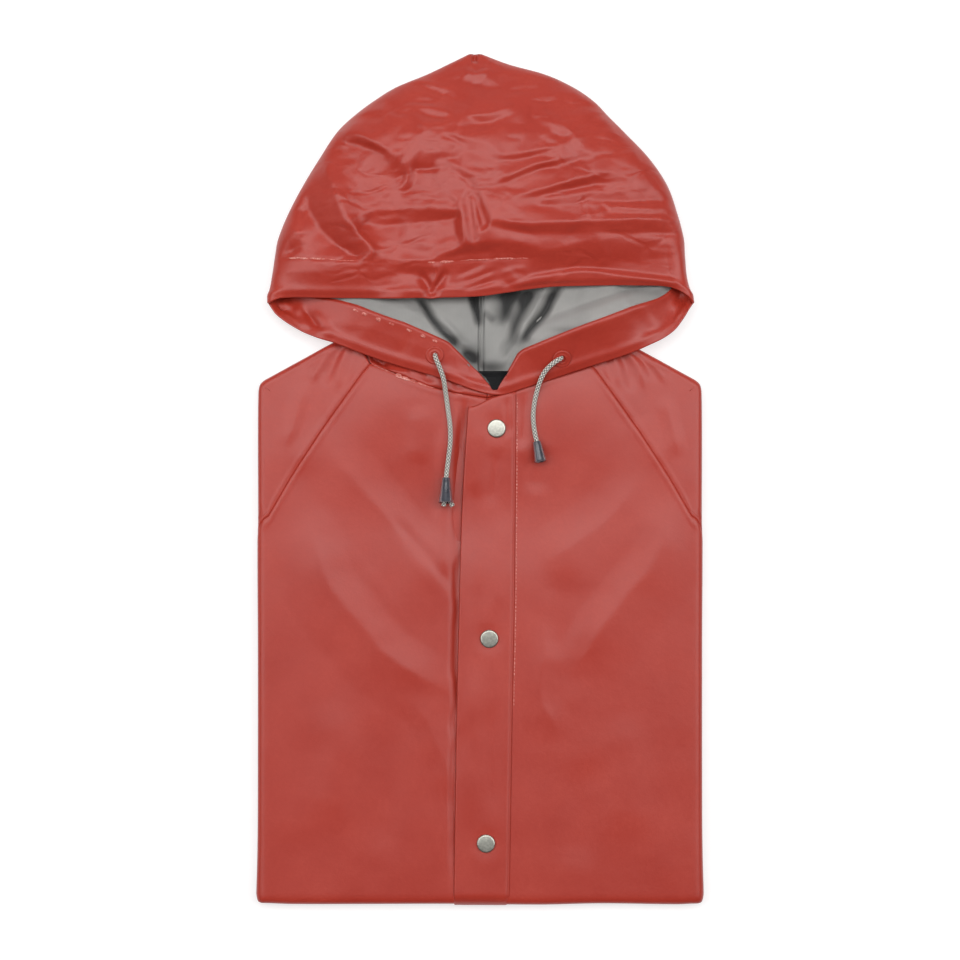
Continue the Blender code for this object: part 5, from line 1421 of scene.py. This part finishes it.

# The weld of the casing shows through as glints where its bead stands up, and a hairline between; the glints
# are painted highlight, drawn as pale pink beads.
BRIM_GLINTS = (((-135, -119), 1.6), ((-121, -106), 1.3), ((-107, -86), 0.7), ((-36, -31), 1.5),
               ((-28, -18), 2.0), ((-14, 8), 0.8), ((9, 24), 2.1), ((22, 34), 0.7))
BRIM_WELD_HEIGHT = 0.3


def along_brim_seam(start, end):
    """A route along the weld of the brim's casing, a little unsteady."""
    across = np.linspace(start, end, max(4, round(abs(end - start) / 3)))
    return np.stack([across, read(BRIM_SEAM, across) + 0.2 * uneven(across, 0, 5.0, 72)], axis=1)


runs, widths = zip(*BRIM_GLINTS)
brim_weld = lay_beads("brim_weld", surface_of(hood), [along_brim_seam(*run) for run in runs], widths,
                      BRIM_WELD_HEIGHT, weld_white_and_glint)
put_on(brim_weld)

# The back of the hood lies under it on the neck of the coat; its rim is the two strips that
# cross below the mouth, each the inner face of the casing.
STRIP_CREASES = (
    Crease(2.2, 3, 4, 1, ((-151, 117), (-141, 120), (-131, 124))),
    Crease(-4.0, 2.6, 3, 1, ((-147, 123), (-141, 119), (-136, 115))),
    Crease(2.0, 3, 4, 1, ((-131, 122), (-124, 114), (-119, 104))),
    Crease(-2.2, 3, 5, 1, ((-125, 120), (-117, 111), (-112, 102))),
    Crease(1.2, 3, 5, 1, ((-116, 118), (-110, 110), (-102, 100))),
    Crease(1.4, 10, 12, 1, ((-122, 116), (-88, 107), (-52, 96), (-16, 82))),
    Crease(0.5, 5, 5, 1, ((-92, 94), (-80, 102), (-70, 112))),
    Crease(-0.5, 4, 4, 1, ((-60, 84), (-52, 92), (-48, 102))),
    Crease(0.7, 3, 5, 1, ((-22, 70), (-18, 80), (-20, 92))),
    Crease(-0.9, 4, 4, 1, ((-8, 66), (-8, 74), (-10, 84))),
    Crease(2.6, 4, 4, 1, ((151, 111), (143, 117), (133, 127))),
    Crease(-3.6, 3, 3, 1, ((149, 119), (143, 123), (136, 129))),
    Crease(0.7, 3, 5, 1, ((128, 104), (120, 112), (112, 124))),
    Crease(-0.9, 4, 4, 1, ((120, 98), (112, 108), (104, 120))),
    Crease(0.6, 4, 5, 1, ((96, 90), (90, 100), (84, 114))),
    Crease(-0.6, 4, 4, 1, ((60, 78), (66, 90), (70, 104))),
    Crease(-0.6, 4, 4, 1, ((38, 70), (38, 80), (32, 90))),
)
BACK_COLUMNS = 190
CASING_STEPS = 20
BACK_STEPS = 40


def back_across(share, count):
    """Shares across the lower layer, with more of them round the roll of each side edge."""
    side_y = ring_height(share)[:, None]
    edge = read(HOOD_RINGS, side_y, EDGE) / (read(HOOD_RINGS, side_y, RIGHT) - read(HOOD_RINGS, side_y, LEFT))
    corner = edge * (1 - np.cos(np.linspace(0, 0.5 * math.pi, 10))[None, :])
    middle = edge + (1 - 2 * edge) * np.linspace(0, 1, count - 18)[None, 1:-1]
    return np.concatenate([corner, middle, (1 - corner)[:, ::-1]], axis=1)


def hem_share(across):
    """How far up the hood the casing's raw edge lies, for places across the lower layer."""
    mouth_x = MOUTH_START + MOUTH_WIDTH * across
    reach = (CROWN_Y - BRIM_Y) * 0.5 * math.pi + 2 * read(RIM_DROP, mouth_x)
    return straight(HEM_WIDTH, mouth_x) / reach


def back_grid():
    """Grid of the lower layer: the casing's inner face from its raw edge, round the rim, then the
    outer face up to the crown. The wrinkles of the strips fade out beyond them."""
    across = back_across(np.full(1, 0.02), BACK_COLUMNS)
    hem = hem_share(across)
    near = np.linspace(0, 1, CASING_STEPS + 1)[:, None] * hem
    far = hem + (1 - hem) * (np.linspace(0, 1, BACK_STEPS + 1)[1:, None] ** 1.05)
    share = np.concatenate([near, far])
    across = np.broadcast_to(across, share.shape)
    grid = lower_point(share, across)
    x, y = grid[..., 0], grid[..., 1]
    wrinkle = crease_heights(STRIP_CREASES, x, y) + 0.25 * uneven(x, y, 14, 51)
    grid[..., 2] += wrinkle * np.clip(1 - share / 0.3, 0, 1) * ease(np.minimum(across, 1 - across) / 0.03)
    walked = np.cumsum(np.linalg.norm(np.diff(grid, axis=0), axis=2), axis=0)
    distance = np.concatenate([np.zeros((1, walked.shape[1])), walked])
    grid = rim_rows(grid, np.array((0, 0, -1.0)), distance, CASING_STEPS + 1, CORD_BULGE * 0.5)
    grid[..., 2] = np.maximum(grid[..., 2], FLOOR_CLEARANCE)
    return grid


back_rim = back_grid()
hood_back = cloth("hood_back", back_rim, [pvc, knit], faces_up=False)
put_on(hood_back, "hood_hem")


# A row of weld spots tacks the raw edge of the casing down on the wearer's right. They are drawn pale: the
# weld's white film, with painted highlight for the light they catch.
SPOT_PLACES = (-86.8, -80.4, -70.8, -61.6, -49.4, -39.8, -31.5)
SPOT_REACH = 1.8
SPOT_WIDTH = 2.6
SPOT_HEIGHT = 0.2
spot_row = back_rim[2]
spots = []
for x in SPOT_PLACES:
    spot_x = [x - SPOT_REACH, x, x + SPOT_REACH]
    spots.append(np.stack([spot_x, np.interp(spot_x, spot_row[:, 0], spot_row[:, 1])], axis=1))
casing_spots = lay_beads("casing_weld_spots", surface_of(hood_back), spots, [SPOT_WIDTH] * len(spots),
                         SPOT_HEIGHT, weld_white_and_glint)
put_on(casing_spots)


# ---- Hood lining --------------------------------------------------------------------------
# The grey knit side of the back of the hood, which shows through the mouth: two halves that
# meet at the centre back seam, lying in loose folds.

LINING_CREASES = (
    Crease(-6.0, 3.0, 2.4, 1, ((-46, 134), (-42, 126), (-37, 117), (-29, 106), (-21, 97), (-10, 86))),
    Crease(1.8, 8, 4, 1, ((-40, 134), (-31, 120), (-22, 108), (-12, 99))),
    Crease(-5.5, 3.6, 2.4, 1, ((-7, 136), (-5, 126), (-3, 117), (0.5, 104))),
    Crease(-6.5, 2.6, 3.2, 1, ((58, 142), (52, 130), (47, 121), (40, 111), (33, 102), (25, 90))),
    Crease(2.6, 3.5, 3.5, 1, ((50, 140), (45, 130), (38, 119), (31, 107), (25, 94))),
    Crease(-4.5, 5.0, 3.4, 1, ((40, 140), (36, 130), (30, 119), (25, 108), (21, 96), (15, 82))),
    Crease(-3.5, 5.0, 7.0, 1, ((22, 138), (19, 128), (17, 116), (14, 104))),
    Crease(-2.5, 2.0, 2.0, 1, ((2, 118), (6, 114), (12, 110))),
    Crease(1.6, 3, 3, 1, ((16, 112), (20, 100), (21, 86))),
    Crease(1.5, 4, 4, 1, ((-18, 93), (-9, 94.5), (0, 92.5))),
    Crease(-3.0, 4, 4, 1, ((-14, 89), (-7, 86), (-1, 80))),
    Crease(2.2, 14, 10, 2, ((66, 132), (80, 124), (70, 112))),
    Crease(2.0, 4, 10, 1, ((84, 144), (97, 130), (108, 112))),
    Crease(2.0, 9, 9, 1, ((-62, 134), (-50, 119), (-40, 110))),
    Crease(1.4, 9, 9, 1, ((-98, 132), (-84, 126), (-70, 120))),
)

# Painted shade on the lining, where it lies deep or in shadow: place, reach across and along, and how dark.
LINING_PAINTED_SHADE = (
    (-6, 86, 8, 7, 0.75), (8, 78, 10, 4, 0.7), (27, 128, 10, 7, 0.8), (20, 118, 6, 9, 0.4),
    (-4, 124, 3.5, 6, 0.5), (-18, 97, 6, 4, 0.5), (-36, 127, 6, 5, 0.3), (2, 128, 40, 3, 0.45),
    (120, 131, 18, 4, 0.35), (58, 104, 9, 2.5, 0.35), (33, 97, 4, 3, 0.3), (-64, 122, 30, 6, 0.14),
)
CENTRE_BACK_X = 0.9
LINING_LOOSE = 7.0
LINING_WALL = 0.5
LINING_TOP = 0.62
LINING_SIDE = 0.985
LINING_LIFT = 0.8


def lining_grid(side):
    """Half of the lining, from the casing up under the dome and out from the centre back seam, and its
    painted shade: how far each place's colour is darkened in the folds, beside the seam and in shadowed
    spots."""
    across = np.linspace(0.5, LINING_SIDE if side > 0 else 1 - LINING_SIDE, 150)[None, :]
    hem = hem_share(across)
    start = hem * 0.9
    share = start + (LINING_TOP - start) * np.linspace(0, 1, 110)[:, None] ** 1.3
    grid = lower_point(share, across)
    x, y = grid[..., 0], grid[..., 1]
    from_seam = np.abs(x - CENTRE_BACK_X)
    seam = 1.1 * np.exp(-((from_seam - 1.2) / 0.8) ** 2) - 1.2 * np.exp(-(from_seam / 0.6) ** 2)
    inset = ease((share - hem) / 0.012) * ease((0.5 - np.abs(across - 0.5)) / 0.06)
    folds = crease_heights(LINING_CREASES, x, y) * inset
    loose = ease((share - hem) / 0.035) * ease((y - 72) / 12)
    raised = (LINING_LOOSE + seam) * loose + folds + 0.5 * uneven(x, y, 16, 61) * inset
    grid[..., 2] += LINING_LIFT + np.maximum(raised, 0.5 * inset)
    # Painted shade: darker down in the folds, in a line beside the centre back seam, and in the listed spots.
    hollow = np.clip(-folds / 5.5, 0, 0.9) + 0.6 * np.exp(-(((from_seam - 1.9) / 0.45) ** 2))
    for spot_x, spot_y, reach_x, reach_y, dark in LINING_PAINTED_SHADE:
        hollow = hollow + dark * np.exp(-(((x - spot_x) / reach_x) ** 2) - ((y - spot_y) / reach_y) ** 2)
    return grid, hollow.clip(0, 0.96)


for side, name in ((-1, "right"), (1, "left")):
    places, depths = lining_grid(side)
    lining = cloth(f"hood_lining_{name}_knit", places, [knit], faces_up=True, thickness=LINING_WALL,
                   hollow=depths)
    put_on(lining, f"hood_lining_{name}")


# ---- Neck label ---------------------------------------------------------------------------
# A folded tape of black polyester satin, sewn bare across the back of the neck. It shows in
# the notch where the two ends of the casing part.

# Rows of the label from its upper end down: place up the coat, and its left and right edge.
LABEL_ROWS = ((75.4, -1.2, 20.0), (74.0, 0.6, 19.0), (71.2, 3.6, 17.0), (68.0, 5.8, 14.8), (62.4, 8.4, 12.0))
LABEL_LIFT = 3.1
LABEL_ARCH = 0.5
LABEL_FOLD = 0.8
LABEL_FOLD_Y = 72.6
LABEL_WALL = 0.5


def black_satin_tape():
    """Woven satin tape: near black with a soft silky band across its ribs, 0.6 mm apart as drawn."""
    material, tree, shader, place = start_material("black_satin_tape", Roughness=0.6, IOR=1.3)
    ribs = add_node(tree, "TexWave", {"Vector": place, "Scale": waves(0.604), "Distortion": 0.4},
                    bands_direction="Y")
    colour = add_node(tree, "ValToRGB", {"Fac": ribs.outputs["Fac"]}, ((0.2, "#040406"), (0.9, "#0b0b0f")))
    tree.links.new(colour.outputs["Color"], shader.inputs["Base Color"])
    bump = add_node(tree, "Bump", {"Height": ribs.outputs["Fac"], "Strength": 0.3, "Distance": 0.0002})
    tree.links.new(bump.outputs["Normal"], shader.inputs["Normal"])
    return material


def lower_height(x, y):
    """The lower layer's outer face above one place near the rim, and the way up from it."""
    across = (x - MOUTH_START) / MOUTH_WIDTH
    low, high = 0.0, 0.6
    for _ in range(30):
        middle = (low + high) / 2
        if lower_point(middle, across)[1] < y:
            low = middle
        else:
            high = middle
    here = lower_point(low, across)
    up = np.cross(lower_point(low, across + 0.01) - here, lower_point(low + 0.01, across) - here)
    return here, up / np.linalg.norm(up)


def label_grid():
    """Grid of the label, laid over the lower layer and arched a little across."""
    upward = LABEL_ROWS[::-1]
    rows = []
    for y in np.linspace(LABEL_ROWS[0][0], LABEL_ROWS[-1][0], 24):
        left, right = float(read(upward, y, 1)), float(read(upward, y, 2))
        folded = LABEL_FOLD * math.exp(-(((y - LABEL_FOLD_Y) / 0.7) ** 2))
        row = []
        for share in np.linspace(0, 1, 34):
            x = left + (right - left) * share
            arched = LABEL_ARCH * math.sin(share * math.pi)
            row.append((x, y, lower_height(x, y)[0][2] + LABEL_LIFT + folded + arched))
        rows.append(row)
    return np.array(rows)


label = cloth("neck_label_tape", label_grid(), [black_satin_tape()], faces_up=True, thickness=LABEL_WALL)
put_on(label, "neck_label")


# ---- Eyelets ------------------------------------------------------------------------------
# Holes for the cord, punched through a 13 mm disc of the same cloth that is welded on the
# casing: a raised ring with an embossed rim.

EYELETS = {"eyelet_right": (-31.6, 86.6), "eyelet_left": (56.8, 84.4)}
EYELET_RADIUS = 6.5
EYELET_HOLE_RADIUS = 2.5
EYELET_LIFT = 2.2
EYELET_SIDES = 64
EYELET_PROFILE = (
    (EYELET_HOLE_RADIUS + 0.2, 0.55), (EYELET_HOLE_RADIUS + 0.6, 0.62), (EYELET_HOLE_RADIUS + 1.0, 0.5),
    (4.2, 0.36), (4.9, 0.36), (5.4, 0.52), (5.8, 0.50), (6.2, 0.3), (EYELET_RADIUS, 0.0),
    (EYELET_RADIUS, -0.4), (EYELET_HOLE_RADIUS, -0.9), (EYELET_HOLE_RADIUS, 0.35),
    (EYELET_HOLE_RADIUS + 0.2, 0.55),
)

for name, (x, y) in EYELETS.items():
    here, up = lower_height(x, y)
    ring = turned_mesh(f"{name}_ring", EYELET_PROFILE, EYELET_SIDES, [pvc])
    seat_on(ring, tuple(np.array((x, y, here[2])) + up * EYELET_LIFT), tuple(up))
    put_on(ring, name)
